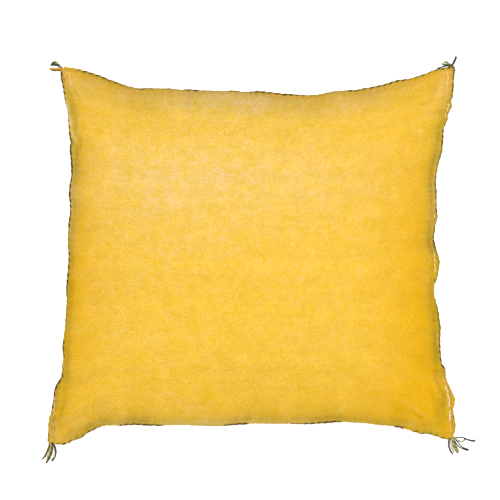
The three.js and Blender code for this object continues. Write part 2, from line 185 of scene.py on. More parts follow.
# The cord along each side: share of the way along, how far it stands out, from 0 to 1, and from there on
# the yarn that winds round it and the yarn of its core. A row that names no yarns keeps the last ones.
CORD_STRETCHES = {
    "bottom": (
        (0, 0.9, "moss", "honey"), (0.03, 0.9, "olive", "honey"), (0.06, 0.9, "umber", "gold"),
        (0.09, 0.95, "umber", "olive"), (0.115, 0.95, "moss", "gold"), (0.132, 0.1), (0.172, 0.2),
        (0.188, 0.9, "moss", "olive"), (0.24, 0.9), (0.265, 0.7, "moss", "umber"),
        (0.285, 0.4, "umber", "gold"), (0.3, 0.1), (0.41, 0.1), (0.43, 0.7),
        (0.442, 0.95, "umber", "umber"), (0.48, 0.95, "umber", "olive"), (0.495, 0.3, "umber", "gold"),
        (0.51, 0.1, "moss", "gold"), (0.59, 0.2), (0.605, 0.7, "moss", "olive"),
        (0.66, 0.7, "moss", "gold"), (0.675, 0.6), (0.688, 0.95, "moss", "umber"),
        (0.715, 0.8, "moss", "olive"), (0.735, 0.1, "umber", "gold"), (0.855, 0.2),
        (0.865, 0.95, "umber", "umber"), (0.882, 0.95, "honey", "honey"), (0.905, 0.75, "brown", "gold"),
        (0.935, 0.8, "olive", "honey"), (1, 0.9),
    ),
    "top": (
        (0, 0.8, "honey", "honey"), (0.02, 0.85, "olive", "honey"), (0.045, 0.95, "moss", "gold"),
        (0.14, 0.95), (0.16, 0.8, "olive", "gold"), (0.185, 0.4), (0.195, 0.8, "umber", "gold"),
        (0.215, 0.5), (0.24, 0.35), (0.31, 0.35), (0.318, 0.8, "moss", "gold"), (0.345, 0.8),
        (0.36, 0.3, "umber", "gold"), (0.39, 0.45, "olive", "gold"), (0.41, 0.3, "umber", "gold"),
        (0.44, 0.5, "olive", "gold"), (0.48, 0.5), (0.49, 0.95, "umber", "gold"),
        (0.555, 0.95, "umber", "olive"), (0.61, 0.9, "umber", "gold"), (0.635, 0.6),
        (0.66, 0.6, "olive", "gold"), (0.7, 0.5), (0.715, 0.3, "umber", "gold"), (0.74, 0.75),
        (0.79, 0.75, "moss", "gold"), (0.89, 0.6, "olive", "gold"), (0.915, 0.8, "moss", "gold"),
        (0.94, 0.8), (0.975, 0.7, "umber", "honey"), (1, 0.8, "olive", "gold"),
    ),
    "left": (
        (0, 0.9, "moss", "gold"), (0.02, 0.6, "olive", "honey"), (0.06, 0.6, "olive", "gold"),
        (0.07, 0.7, "umber", "gold"), (0.09, 0.85, "moss", "gold"), (0.13, 0.85, "moss", "olive"),
        (0.15, 0.8, "moss", "gold"), (0.165, 0.8, "umber", "gold"), (0.2, 0.6, "olive", "gold"),
        (0.235, 0.85, "moss", "olive"), (0.265, 0.85), (0.285, 0.5, "moss", "gold"), (0.32, 0.5),
        (0.345, 0.6, "olive", "olive"), (0.365, 0.4, "olive", "gold"), (0.39, 0.5, "olive", "olive"),
        (0.415, 0.9, "moss", "olive"), (0.435, 0.5, "moss", "gold"), (0.465, 0.6),
        (0.51, 0.5, "olive", "gold"), (0.57, 0.6, "moss", "gold"), (0.59, 0.85, "moss", "olive"),
        (0.61, 0.7), (0.64, 0.7, "moss", "gold"), (0.66, 0.95, "moss", "olive"), (0.81, 0.95),
        (0.83, 0.8, "moss", "gold"), (0.86, 0.7, "moss", "sage"), (0.89, 0.65, "moss", "olive"),
        (0.94, 0.75, "moss", "gold"), (0.98, 0.9),
    ),
    "right": (
        (0, 0.9, "honey", "honey"), (0.045, 0.9, "umber", "honey"), (0.062, 0.9, "honey", "gold"),
        (0.16, 0.9, "gold", "gold"), (0.17, 1, "olive", "gold"), (0.186, 1, "moss", "gold"),
        (0.21, 0.8, "umber", "olive"), (0.25, 0.85, "olive", "umber"), (0.34, 0.75, "olive", "olive"),
        (0.37, 0.5, "olive", "gold"), (0.385, 0.1), (0.41, 0.1), (0.425, 0.6),
        (0.45, 0.6, "olive", "olive"), (0.47, 0.5, "olive", "gold"), (0.5, 0.6),
        (0.515, 0.95, "umber", "umber"), (0.535, 0.95, "umber", "gold"), (0.545, 0.7, "olive", "olive"),
        (0.61, 0.4, "umber", "gold"), (0.618, 0.9, "moss", "gold"), (0.632, 0.6, "olive", "gold"),
        (0.65, 0.75, "olive", "olive"), (0.79, 0.75), (0.8, 0.7, "umber", "gold"),
        (0.84, 0.6, "olive", "gold"), (0.86, 0.4, "gold", "gold"), (0.91, 0.4),
        (0.93, 0.8, "brown", "gold"), (0.945, 0.9, "brown", "olive"), (0.965, 0.8, "olive", "gold"),
        (0.98, 0.9, "olive", "olive"),
    ),
}

# Colours of yarn, silk and cloth, linear.
YARNS = {
    "slate": (0.05, 0.061, 0.06),
    "moss": (0.062, 0.046, 0.008),
    "umber": (0.105, 0.055, 0.006),
    "brown": (0.14, 0.075, 0.012),
    "olive": (0.2, 0.16, 0.025),
    "gold": (0.42, 0.28, 0.04),
    "honey": (0.62, 0.36, 0.03),
    "orange": (0.74, 0.36, 0.045),
    "yellow": (0.66, 0.44, 0.07),
    "straw": (0.8, 0.58, 0.22),
    "cream": (0.82, 0.68, 0.42),
    "sage": (0.38, 0.38, 0.17),
    "ecru": (0.6, 0.54, 0.38),
}
BUNDLE_YARN = "gold"
CLOTH = (0.8, 0.492, 0.055)
# Partly the cloth's own paler tone and partly painted glare in the upper middle of the face.
CLOTH_PALE = (0.79, 0.53, 0.15)
# Partly the cloth's own deeper tone, as in the random warmer patches, and partly painted shade near the
# sides and corners.
CLOTH_AMBER = (0.765, 0.405, 0.003)
# Painted shade: the olive the cloth darkens to at its edges, in troughs and in fold hollows, partly its
# own olive cast.
CLOTH_OLIVE_SHADE = (0.42, 0.27, 0.01)
# Partly the cloth's own cream tone and partly painted highlight on the tops of folds and on the ridge of
# the lip.
CLOTH_CREAM = (0.84, 0.62, 0.27)

# Soft hollows and swells in the face: across, up, reach along and across their own line, how many degrees
# that line is turned, and height.
SWELLS = (
    (-40, -158, 52, 26, -10, -4), (-20, -196, 16, 14, 90, -4), (-226, 169, 30, 4, 98, 1.8),
    (-220, 170, 34, 3, 98, -1.6), (205, -182, 40, 9, -46, 4), (186, -196, 34, 8, -30, -3),
    (212, -150, 34, 9, -68, -3), (-206, -186, 40, 10, 42, 3.5), (-190, -200, 30, 8, 24, -3),
    (200, 184, 40, 10, 44, 3), (-190, 186, 42, 10, -42, 3), (214, 8, 30, 9, 10, 2.5),
    (206, -28, 34, 10, -8, -3), (70, 60, 120, 90, 20, 2.5), (-110, -60, 110, 80, -30, 2),
)

# Finer creases by the corners, the notches and the stitches, in the same columns.
CREASES = (
    (-222, 213, 26, 2.2, -58, 0.9), (-214, 216, 24, 2, -36, 0.8), (-218, 203, 22, 2.4, -70, -0.9),
    (-222, 139, 6, 1.8, -60, -2.4), (-216, 150, 16, 3, 80, 1.4), (235, 214, 24, 2.2, 76, 0.9),
    (228, 205, 26, 2.6, 60, -0.9), (216, 214, 22, 2.4, 28, 0.8), (231, 176, 12, 2, 10, -1.4),
    (228, -190, 26, 3, -76, -1.6), (218, -205, 24, 3, -24, -1.2), (208, -196, 26, 2.6, -38, 0.9),
    (-238, -196, 24, 3, 70, -1), (-228, -208, 26, 3, 30, -1.1), (-216, -196, 24, 2.6, 44, 0.9),
    (-6, -203, 8, 3, 84, -1.6), (-14, -198, 14, 4, 100, 0.8), (214, 40, 10, 2, -4, -1),
)

# Shades of the cloth: shade, and then the columns above, with strength in place of height. The olive rows
# are painted shade in troughs and along the edges, the pale rows partly painted glare, the amber rows
# partly painted shade near the sides, and the cream rows along the top left's lip painted highlight on
# its ridge.
TINTS = (
    ("pale", -60, 100, 200, 45, 0, 0.7), ("pale", -110, 60, 90, 80, 0, 0.3),
    ("pale", -20, 190, 90, 24, 0, 0.7), ("pale", 40, 60, 130, 60, 10, 0.25),
    ("amber", 205, -60, 56, 210, 0, 0.7), ("amber", -222, -40, 30, 190, 0, 0.4),
    ("amber", 60, -175, 240, 36, 0, 0.25), ("olive", 236, -183, 30, 8, 90, 0.75),
    ("olive", -205, -212, 44, 5, 24, 0.4), ("olive", -221.5, 171, 32, 2.4, 98, 0.5),
    ("cream", -226, 95, 64, 9, 92, 0.3), ("cream", -30, -207, 150, 5, 0, 0.25),
    ("cream", 226, 92, 70, 5, 86, 0.14), ("olive", -226.5, 201, 10, 2.5, 100, 0.4),
    ("olive", 184, -186, 40, 14, -16, 0.12), ("amber", -236, -222, 30, 16, 20, 0.5),
    ("cream", -225, -215, 34, 20, 30, 0.08), ("cream", -30, 198, 110, 20, 0, 0.22),
    ("cream", 150, 196, 60, 14, 16, 0.1), ("cream", -227, 172, 30, 3, 98, 0.4),
    ("cream", -228.4, 183, 3.4, 2, 98, 0.25), ("cream", -224.1, 163, 4.5, 2.2, 98, 0.3),
    ("cream", -222.2, 150.6, 4, 2.6, 98, 0.25), ("cream", -219.8, 143.2, 4, 2.6, 120, 0.3),
    ("cream", 110, -190, 3, 1.6, 60, 0.5), ("cream", -227, 215, 16, 8, -60, 0.25),
    ("cream", -210, 206, 26, 12, -45, 0.12), ("amber", 243, 225, 10, 7, 0, 0.7),
    ("cream", 237, 210, 16, 9, 80, 0.2), ("cream", 226, 186, 16, 12, 60, 0.1),
    ("cream", 206.6, 152.1, 2.2, 2, 0, 0.9), ("amber", 242, -221, 24, 14, -25, 0.8),
    ("olive", -150, -207, 26, 6, 8, 0.4), ("olive", -100, -208, 40, 5, 0, 0.3),
)

# Where the twill leans the other way, and where it shows more or less, in the same columns.
WEAVE_PATCHES = (
    ("falling", -112, 166, 84, 50, 0, 1.3), ("falling", -217, -184, 9, 9, 0, 0.9),
    ("falling", 150, 60, 120, 160, 20, 1), ("twill", -183, -186, 34, 28, 40, 1.15),
    ("twill", -217, -184, 14, 14, 0, -0.4), ("twill", -160, -120, 50, 90, 0, 0.7),
    ("twill", -140, -50, 80, 110, 0, 0.5), ("twill", -90, 150, 70, 36, 0, 0.8),
    ("twill", 0, 160, 80, 40, 0, 0.35), ("twill", -193, -197, 18, 18, 0, 0.5),
    ("twill", 0, -165, 130, 36, 0, 0.65), ("twill", -40, -40, 90, 90, 0, 0.25),
)

# Painted shade towards each side, for the face turning away from the light: share of the way along,
# strength and reach of the olive painted shade at the edge, strength of the amber further in, which is
# partly painted shade, and how much darker the painted shade makes the cloth.
PAINTED_EDGE_SHADES = {
    "bottom": (
        (0, 0.6, 5, 0.8, 0), (0.05, 1.4, 7, 0.4, 0.06), (0.1, 1.4, 6.5, 0.2, 0.06),
        (0.25, 0.95, 6, 0.1, 0.02), (0.45, 1.15, 7.5, 0.25, 0), (0.65, 1.1, 7.5, 0.35, 0),
        (0.8, 1.05, 7.5, 0.6, 0), (0.91, 1.15, 8, 1.1, 0), (0.96, 1.1, 8, 1.2, 0), (1, 0.4, 5, 1.3, 0),
    ),
    "top": (
        (0, 1.6, 1.1, 0, 0.16), (0.05, 2, 1.1, 0.05, 0.24), (0.25, 1.5, 1.5, 0.1, 0.25),
        (0.5, 1.3, 2, 0, 0.24), (0.62, 2, 1.2, 0.1, 0.24), (0.8, 1.3, 2, 0.2, 0.19),
        (0.91, 1, 2.2, 0.3, 0.12), (1, 0.6, 2, 0.6, 0.08),
    ),
    "left": (
        (0, 0.7, 4, 0.5, 0), (0.04, 1.3, 7, 0.2, 0), (0.13, 1.4, 6.5, 0.3, 0), (0.25, 1.6, 3.6, 0.6, 0),
        (0.45, 1.7, 2.8, 0.7, 0), (0.65, 1.65, 6.3, 0.6, 0), (0.8, 1.7, 5.8, 0.4, 0),
        (0.91, 1.9, 4.6, 0.2, 0), (0.97, 1.6, 3, 0.2, 0), (1, 0.5, 3, 0.3, 0),
    ),
    "right": (
        (0, 0.4, 5, 0.9, 0), (0.13, 0.5, 5, 1.2, 0), (0.18, 1.3, 8, 1, 0), (0.25, 1.4, 7.5, 0.8, 0),
        (0.45, 1.15, 8, 0.8, 0), (0.65, 2.2, 5.6, 0.7, 0), (0.8, 1.7, 7, 0.4, 0),
        (0.91, 1.3, 7.5, 0.1, 0), (0.96, 1, 6, 0, 0), (1, 0.5, 4, 0.4, 0),
    ),
}
AMBER_REACH = 22.0
PAINTED_DIM_REACH = 27.0
FLAT_WEAVE = 0.8  # how much the twill flattens out at the edge
FLAT_REACH = 16.0
UNDERSIDE_OFFSET = 200  # keeps the underside's pattern apart from the face's

# Single specks in the cloth: across, up, radius, and what the cloth's colour is multiplied by.
SPECKS = ((-84, 138, 0.9, 0.6), (-215, -62, 1.3, 0.62), (215, 196.5, 1.1, 0.6))


def smoothstep(x):
    x = np.clip(x, 0, 1)
    return x * x * (3 - 2 * x)


def unit(vectors):
    return vectors / np.linalg.norm(vectors, axis=-1, keepdims=True)


# Curves

FINE_STEPS = 24


def spline(points, count):
    """count + 1 points, evenly spaced, on the smooth curve through the given points."""
    pts = np.asarray(points, float)
    pts = np.vstack([2 * pts[0] - pts[1], pts, 2 * pts[-1] - pts[-2]])
    fine = []
    for p0, p1, p2, p3 in zip(pts, pts[1:], pts[2:], pts[3:]):
        d0, d1, d2 = (np.sqrt(np.linalg.norm(b - a)) for a, b in ((p0, p1), (p1, p2), (p2, p3)))
        leave = d1 * ((p1 - p0) / d0 - (p2 - p0) / (d0 + d1) + (p2 - p1) / d1)
        arrive = d1 * ((p2 - p1) / d1 - (p3 - p1) / (d1 + d2) + (p3 - p2) / d2)
        for t in np.arange(FINE_STEPS) / FINE_STEPS:
            ease = t * t * (3 - 2 * t)
            bend = t * (1 - t) * ((1 - t) * leave - t * arrive)
            fine.append(p1 + ease * (p2 - p1) + bend)
    fine.append(pts[-2])
    fine = np.array(fine)
    run = run_along(fine)
    even = np.linspace(0, run[-1], count + 1)
    return np.column_stack([np.interp(even, run, axis) for axis in fine.T])


def steps_of(path):
    return np.linalg.norm(np.diff(path, axis=0), axis=1)


def length_of(path):
    return steps_of(path).sum()


def run_along(path):
    """How far along a path each of its points is."""
    return np.concatenate([[0], np.cumsum(steps_of(path))])


def wander(count, knots, rng):
    """Smooth random numbers between -1 and 1, count + 1 of them, that change about knots times."""
    values = rng.uniform(-1, 1, knots + 1)
    at = np.linspace(0, knots, count + 1)
    low = np.minimum(at.astype(int), knots - 1)
    ease = smoothstep(at - low)
    return values[low] * (1 - ease) + values[low + 1] * ease


# The outline

SEAM_POINTS = 2000


def body_corner(name):
    x, y, height = CORNERS[name]
    inward = [math.copysign(SEAM_TO_OUTLINE, value) for value in (x, y)]
    return np.array([x - inward[0], y - inward[1], height])


def seam_curve(side):
    """The body's sewn seam along one side, before it is shifted to the frame's place."""
    start, end, turn = SIDE_ENDS[side]
    a, b = body_corner(start), body_corner(end)
    along = unit((b - a)[:2])
    inner = np.array([-along[1], along[0]]) * turn
    points = [a]
    for at, inward, rise in SIDE_LINES[side]:
        point = a + (b - a) * at
        point[:2] += inner * inward
        point[2] = SEAM_HEIGHT + rise
        points.append(point)
    points.append(b)
    return spline(points, SEAM_POINTS)


def outward_of(side, curve):
    """The level direction out of the cushion at each point of a side."""
    tangent = unit(np.gradient(curve[:, :2], axis=0))
    turn = SIDE_ENDS[side][2]
    return np.column_stack([tangent[:, 1] * turn, -tangent[:, 0] * turn, np.zeros(len(curve))])


def frame_shift(seams):
    """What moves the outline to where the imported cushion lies."""
    rim = np.vstack(list(seams.values()))
    low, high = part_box("cushion")
    middle = np.array((low + high) / 2) / MM
    own = (rim.min(axis=0) + rim.max(axis=0)) / 2
    return np.array([middle[0] - own[0], middle[1] - own[1], 0])


def column(rows, share, index=1):
    """One column of a table whose first column is the share, at the given shares."""
    return np.interp(share, [row[0] for row in rows], [row[index] for row in rows])


SEAMS = {side: seam_curve(side) for side in SIDE_ENDS}
SHIFT = frame_shift(SEAMS)
SEAMS = {side: curve + SHIFT for side, curve in SEAMS.items()}
OUTWARD = {side: outward_of(side, curve) for side, curve in SEAMS.items()}


def nearness(share):
    """1 at the start of a side, and 0 from CORNER_FADE on."""
    return np.clip(1 - share / CORNER_FADE, 0, 1) ** 2


def rim_curve(side):
    """The cloth's own edge along one side, which reaches past the seam to the cord or over it."""
    share = np.linspace(0, 1, SEAM_POINTS + 1)
    out = column(CORD_STRETCHES[side], share)
    reach = HIDDEN_REACH + (SHOWN_REACH - HIDDEN_REACH) * out
    near_start, near_end = nearness(share), nearness(1 - share)
    near = near_start + near_end
    reach = reach * (1 - near) + CORNER_REACH * near + column(EDGE_WAVES[side], share)
    along = unit(np.gradient(SEAMS[side], axis=0)) * [1, 1, 0]
    slide = (near_end - near_start)[:, None] * CORNER_REACH * along
    return SEAMS[side] + OUTWARD[side] * reach[:, None] + slide


def joined(rims):
    """The four rims, bent near their ends so that they meet at the corners."""
    ends = {}
    for side, rim in rims.items():
        for name, point in zip(SIDE_ENDS[side], (rim[0], rim[-1])):
            ends.setdefault(name, []).append(point)
    meet = {name: np.mean(points, axis=0) for name, points in ends.items()}
    share = np.linspace(0, 1, SEAM_POINTS + 1)
    near_start = nearness(share)[:, None]
    result = {}
    for side, rim in rims.items():
        start, end, _ = SIDE_ENDS[side]
        at_start = (meet[start] - rim[0]) * near_start
        result[side] = rim + at_start + (meet[end] - rim[-1]) * near_start[::-1]
    return result


def at_share(curve, share):
    even = np.linspace(0, 1, len(curve))
    return np.stack([np.interp(share, even, axis) for axis in curve.T], axis=-1)


# Meshes

def mesh_object(name, points, faces):
    """A smooth-shaded object from points in millimetres."""
    mesh = bpy.data.meshes.new(name)
    mesh.from_pydata((np.asarray(points) * MM).tolist(), [], faces)
    mesh.update()
    mesh.shade_smooth()
    piece = bpy.data.objects.new(name, mesh)
    bpy.context.scene.collection.objects.link(piece)
    return piece


def points_of(mesh):
    flat = np.empty(len(mesh.vertices) * 3)
    mesh.vertices.foreach_get("co", flat)
    return flat.reshape(-1, 3) / MM


def move_points(mesh, points):
    mesh.vertices.foreach_set("co", (np.asarray(points) * MM).ravel())
    mesh.update()


def normals_of(mesh):
    flat = np.empty(len(mesh.vertices) * 3)
    mesh.vertex_normals.foreach_get("vector", flat)
    return flat.reshape(-1, 3)


def write_vectors(mesh, name, values, kind="FLOAT_VECTOR", field="vector"):
    attribute = mesh.attributes.new(name, kind, "POINT")
    attribute.data.foreach_set(field, np.asarray(values, float).ravel())


def read_vectors(mesh, name):
    flat = np.empty(len(mesh.vertices) * 3)
    mesh.attributes[name].data.foreach_get("vector", flat)
    return flat.reshape(-1, 3)


def evaluated(piece):
    return piece.evaluated_get(bpy.context.evaluated_depsgraph_get())


# The cushion

def grid_shares(count):
    even = np.linspace(0, 1, count + 1)
    crowded = (1 - np.cos(np.pi * even)) / 2
    return even + (crowded - even) * EDGE_CROWDING


def blobs(rows, x, y):
    """The height at each point that rows of soft hollows and swells add up to."""
    total = np.zeros_like(x)
    for row_x, row_y, half_long, half_wide, turn, lift in rows:
        angle = math.radians(turn)
        dx, dy = x - SHIFT[0] - row_x, y - SHIFT[1] - row_y
        along = (dx * math.cos(angle) + dy * math.sin(angle)) / half_long
        across = (dy * math.cos(angle) - dx * math.sin(angle)) / half_wide
        total += lift * np.exp(-(along**2) - across**2)
    return total


def on_floor(height):
    """A height that settles softly onto the floor and never goes below it."""
    soft = (height + FLOOR_ROUNDING) ** 2 / (4 * FLOOR_ROUNDING)
    return np.where(height >= FLOOR_ROUNDING, height, np.where(height <= -FLOOR_ROUNDING, 0, soft))


def fullness(share, low_lip, high_lip):
    """How full the cushion is: 0 on the lips at both ends and 1 in the middle."""
    inside = np.clip((share - low_lip) / (1 - low_lip - high_lip), 0, 1)
    return (1 - np.abs(2 * inside - 1) ** CROWN_POWER) ** EDGE_POWER


def cushion_grids():
    """The shares, and the points of the face and the underside, as grids of ROWS + 1 by COLUMNS + 1."""
    rims = joined({side: rim_curve(side) for side in SIDE_ENDS})
    across, up = np.meshgrid(grid_shares(COLUMNS), grid_shares(ROWS))
    u, v = across[..., None], up[..., None]
    bottom, top = at_share(rims["bottom"], across), at_share(rims["top"], across)
    left, right = at_share(rims["left"], up), at_share(rims["right"], up)
    low = rims["bottom"][0] * (1 - u) + rims["bottom"][-1] * u
    high = rims["top"][0] * (1 - u) + rims["top"][-1] * u
    seam = bottom * (1 - v) + top * v + left * (1 - u) + right * u - low * (1 - v) - high * v
    width, length = length_of(rims["bottom"]), length_of(rims["left"])
    full = fullness(across, *(column(LIP_WIDTHS[side], up) / width for side in ("left", "right")))
    full *= fullness(up, *(column(LIP_WIDTHS[side], across) / length for side in ("bottom", "top")))
    face, underside = seam.copy(), seam.copy()
    swell = blobs(SWELLS, seam[..., 0], seam[..., 1]) * np.minimum(1, SWELL_FADE * full)
    face[..., 2] += LIP_THICKNESS / 2 + FACE_CROWN * START_SHARE * full + swell
    underside[..., 2] = on_floor(seam[..., 2] - LIP_THICKNESS / 2 - BELLY_DEPTH * START_SHARE * full)
    return across, up, full, face, underside


def cushion_faces():
    """The quads of the face, of the underside, and of the wall between their edges."""
    row = COLUMNS + 1
    size = row * (ROWS + 1)
    faces = []
    for j in range(ROWS):
        for i in range(COLUMNS):
            a = j * row + i
            faces.append((a, a + 1, a + row + 1, a + row))
            faces.append((size + a, size + a + row, size + a + row + 1, size + a + 1))
    edge = list(range(COLUMNS))
    edge += [j * row + COLUMNS for j in range(ROWS)]
    edge += [ROWS * row + i for i in range(COLUMNS, 0, -1)]
    edge += [j * row for j in range(ROWS, 0, -1)]
    for a, b in zip(edge, edge[1:] + edge[:1]):
        faces.append((size + a, size + b, b, a))
    return faces


def swell_with_pressure(cushion, held):
    """Blows the cushion up with a cloth simulation, then limits how far each point has moved."""
    start = points_of(cushion.data)
    group = cushion.vertex_groups.new(name="held")
    group.add([int(i) for i in np.flatnonzero(held)], 1.0, "REPLACE")
    cloth = cushion.modifiers.new("cloth", "CLOTH")
    settings = cloth.settings
    settings.quality = 5
    settings.mass = 0.3
    settings.tension_stiffness = 15
    settings.compression_stiffness = 15
    settings.shear_stiffness = 5
    settings.bending_stiffness = 0.5
    settings.use_pressure = True
    settings.uniform_pressure_force = PRESSURE
    settings.effector_weights.gravity = 0
    settings.vertex_group_mass = "held"
    cloth.point_cache.frame_start = 1
    cloth.point_cache.frame_end = LAST_FRAME
    for number in range(1, LAST_FRAME + 1):
        bpy.context.scene.frame_set(number)
    swollen = points_of(evaluated(cushion).data)
    cushion.modifiers.remove(cloth)
    bpy.context.scene.frame_set(1)
    move = swollen - start
    far = np.linalg.norm(move, axis=1, keepdims=True)
    move *= MOST_MOVE * np.tanh(far / MOST_MOVE) / np.maximum(far, 1e-9)
    result = start + move
    result[:, 2] = np.maximum(result[:, 2], 0)
    return result


def make_cushion():
    across, up, full, face, belly = cushion_grids()
    points = np.vstack([face.reshape(-1, 3), belly.reshape(-1, 3)])
    cushion = mesh_object("cushion_cover", points, cushion_faces())
    underside = np.repeat([0.0, 1.0], across.size)
    shares = np.column_stack([np.tile(across.ravel(), 2), np.tile(up.ravel(), 2), underside])
    write_vectors(cushion.data, "share", shares)
    held = np.tile(full.ravel() <= 0, 2) | (points[:, 2] <= HELD_HEIGHT)
    swollen = swell_with_pressure(cushion, held)
    move_points(cushion.data, swollen)
    smooth = cushion.modifiers.new("smooth", "SUBSURF")
    smooth.levels = smooth.render_levels = 1
    mesh = bpy.data.meshes.new_from_object(evaluated(cushion))
    cushion.modifiers.clear()
    cushion.data = mesh
    mesh.shade_smooth()
    return cushion


PUCKER_PITCH = 8.4
PUCKER_DRIFT = 30  # mm of seam to a change in their spacing
PUCKER_UNEVEN = 0.8
PUCKER_HEIGHT = 0.55
PUCKER_LEAST = 0.35  # share of the height where the cord doesn't show
PUCKER_REACH = 5.0
GATHERS = ((17.0, 0.8, 26.0), (6.5, 0.5, 13.0))  # pitch, height, reach
# How strongly the tops of the folds are painted paler and their hollows darker: painted highlight and
# shade.
FOLD_SHADE = 0.13
WAVE_COUNT = 16
WAVE_HEIGHT = 0.22
WAVE_LENGTHS = (45, 140)
SETTLED_HEIGHT = 6  # below it the cloth lies ever flatter on the floor


def on_face(share):
    return share[:, 2] < 0.5


def seam_distances(share):
    """For each side, how far a point of the cushion is from it, and where along it, in millimetres."""
    width, length = length_of(SEAMS["bottom"]), length_of(SEAMS["left"])
    u, v = share[:, 0], share[:, 1]
    return {
        "bottom": (v * length, u), "top": ((1 - v) * length, u),
        "left": (u * width, v), "right": ((1 - u) * width, v),
    }


def add_relief(cushion, rng):
    """Adds puckers, gathers and creases, finer than the simulated cells, and returns their height."""
    mesh = cushion.data
    points, normals = points_of(mesh), normals_of(mesh)
    share = read_vectors(mesh, "share")
    lift = np.zeros(len(points))
    folds = np.zeros(len(points))
    even = np.linspace(0, 1, SEAM_POINTS + 1)
    for side, (distance, at) in seam_distances(share).items():
        run = length_of(SEAMS[side])
        stitches = wander(SEAM_POINTS, int(run / PUCKER_DRIFT), rng) * PUCKER_UNEVEN
        turn = 2 * np.pi * at * run / PUCKER_PITCH + np.interp(at, even, stitches)
        shown = PUCKER_LEAST + (1 - PUCKER_LEAST) * column(CORD_STRETCHES[side], at)
        folds += PUCKER_HEIGHT * shown * np.exp(-distance / PUCKER_REACH) * np.cos(turn)
        for pitch, height, reach in GATHERS:
            gathers = wander(SEAM_POINTS, int(run / pitch), rng)
            middle = np.exp(-distance / reach) * (1 - np.exp(-distance * 4 / reach))
            folds += height * middle * np.interp(at, even, gathers)
    folds += np.where(on_face(share), blobs(CREASES, points[:, 0], points[:, 1]), 0)
    for _ in range(WAVE_COUNT):
        angle = rng.uniform(0, 2 * np.pi)
        number = 2 * np.pi / rng.uniform(*WAVE_LENGTHS)
        along = points[:, 0] * math.cos(angle) + points[:, 1] * math.sin(angle)
        lift += WAVE_HEIGHT * np.sin(number * along + rng.uniform(0, 2 * np.pi))
    free = smoothstep(points[:, 2] / SETTLED_HEIGHT)
    points += normals * ((lift + folds) * free)[:, None]
    move_points(mesh, points)
    return folds


def painted(rows, kinds, x, y):
    """The strength of each kind at each point, from rows that start with their kind."""
    return {kind: blobs([row[1:] for row in rows if row[0] == kind], x, y) for kind in kinds}


def shade_cloth(cushion, folds):
    """Writes what the cloth's weave and shades are drawn from, with painted highlight and shade on folds.
    """
    mesh = cushion.data
    points, share = points_of(mesh), read_vectors(mesh, "share")
    width, length = length_of(SEAMS["bottom"]), length_of(SEAMS["left"])
    panel = np.column_stack([
        (share[:, 0] - 0.5) * width, (share[:, 1] - 0.5) * length, share[:, 2] * UNDERSIDE_OFFSET,
    ]) * MM
    write_vectors(mesh, "panel", panel)
    x, y = points[:, 0], points[:, 1]
    tints = painted(TINTS, ("pale", "amber", "olive", "cream"), x, y)
    tints = {shade: np.where(on_face(share), strength, 0) for shade, strength in tints.items()}
    nearest = np.min([distance for distance, _ in seam_distances(share).values()], axis=0)
    # Painted highlight on the tops of the folds and painted shade in their hollows.
    tints["cream"] = tints["cream"] + FOLD_SHADE * np.clip(folds, 0, 1)
    plain = 1 - np.clip(tints["olive"] + 2 * FOLD_SHADE * np.clip(-folds, 0, 1), 0, 1)
    light = np.ones(len(points))
    # Painted shade towards each side: olive at the edge, amber further in and a darker light, where the
    # face turns away from the light.
    for side, (distance, at) in seam_distances(share).items():
        strength, reach, amber, painted_dim = (column(PAINTED_EDGE_SHADES[side], at, index) for index in (1, 2, 3, 4))
        plain = plain * (1 - np.clip(strength * np.exp(-distance / reach), 0, 1))
        tints["amber"] = tints["amber"] + amber * np.exp(-distance / AMBER_REACH)
        light = light * (1 - painted_dim * np.exp(-((distance / PAINTED_DIM_REACH) ** 2)))
    tints["olive"] = 1 - plain
    write_vectors(mesh, "light", light, "FLOAT", "value")
    tints = {shade: np.clip(strength, 0, 1) for shade, strength in tints.items()}
    write_vectors(mesh, "tint", np.column_stack([tints["pale"], tints["amber"], tints["olive"]]))
    weave = painted(WEAVE_PATCHES, ("falling", "twill"), x, y)
    falling = np.clip(weave["falling"], 0, 1)
    twill = np.clip(weave["twill"], 0, 1.5) * (1 - FLAT_WEAVE * np.exp(-nearest / FLAT_REACH))
    write_vectors(mesh, "weave", np.column_stack([falling, twill, tints["cream"]]))


# Tubes of yarn

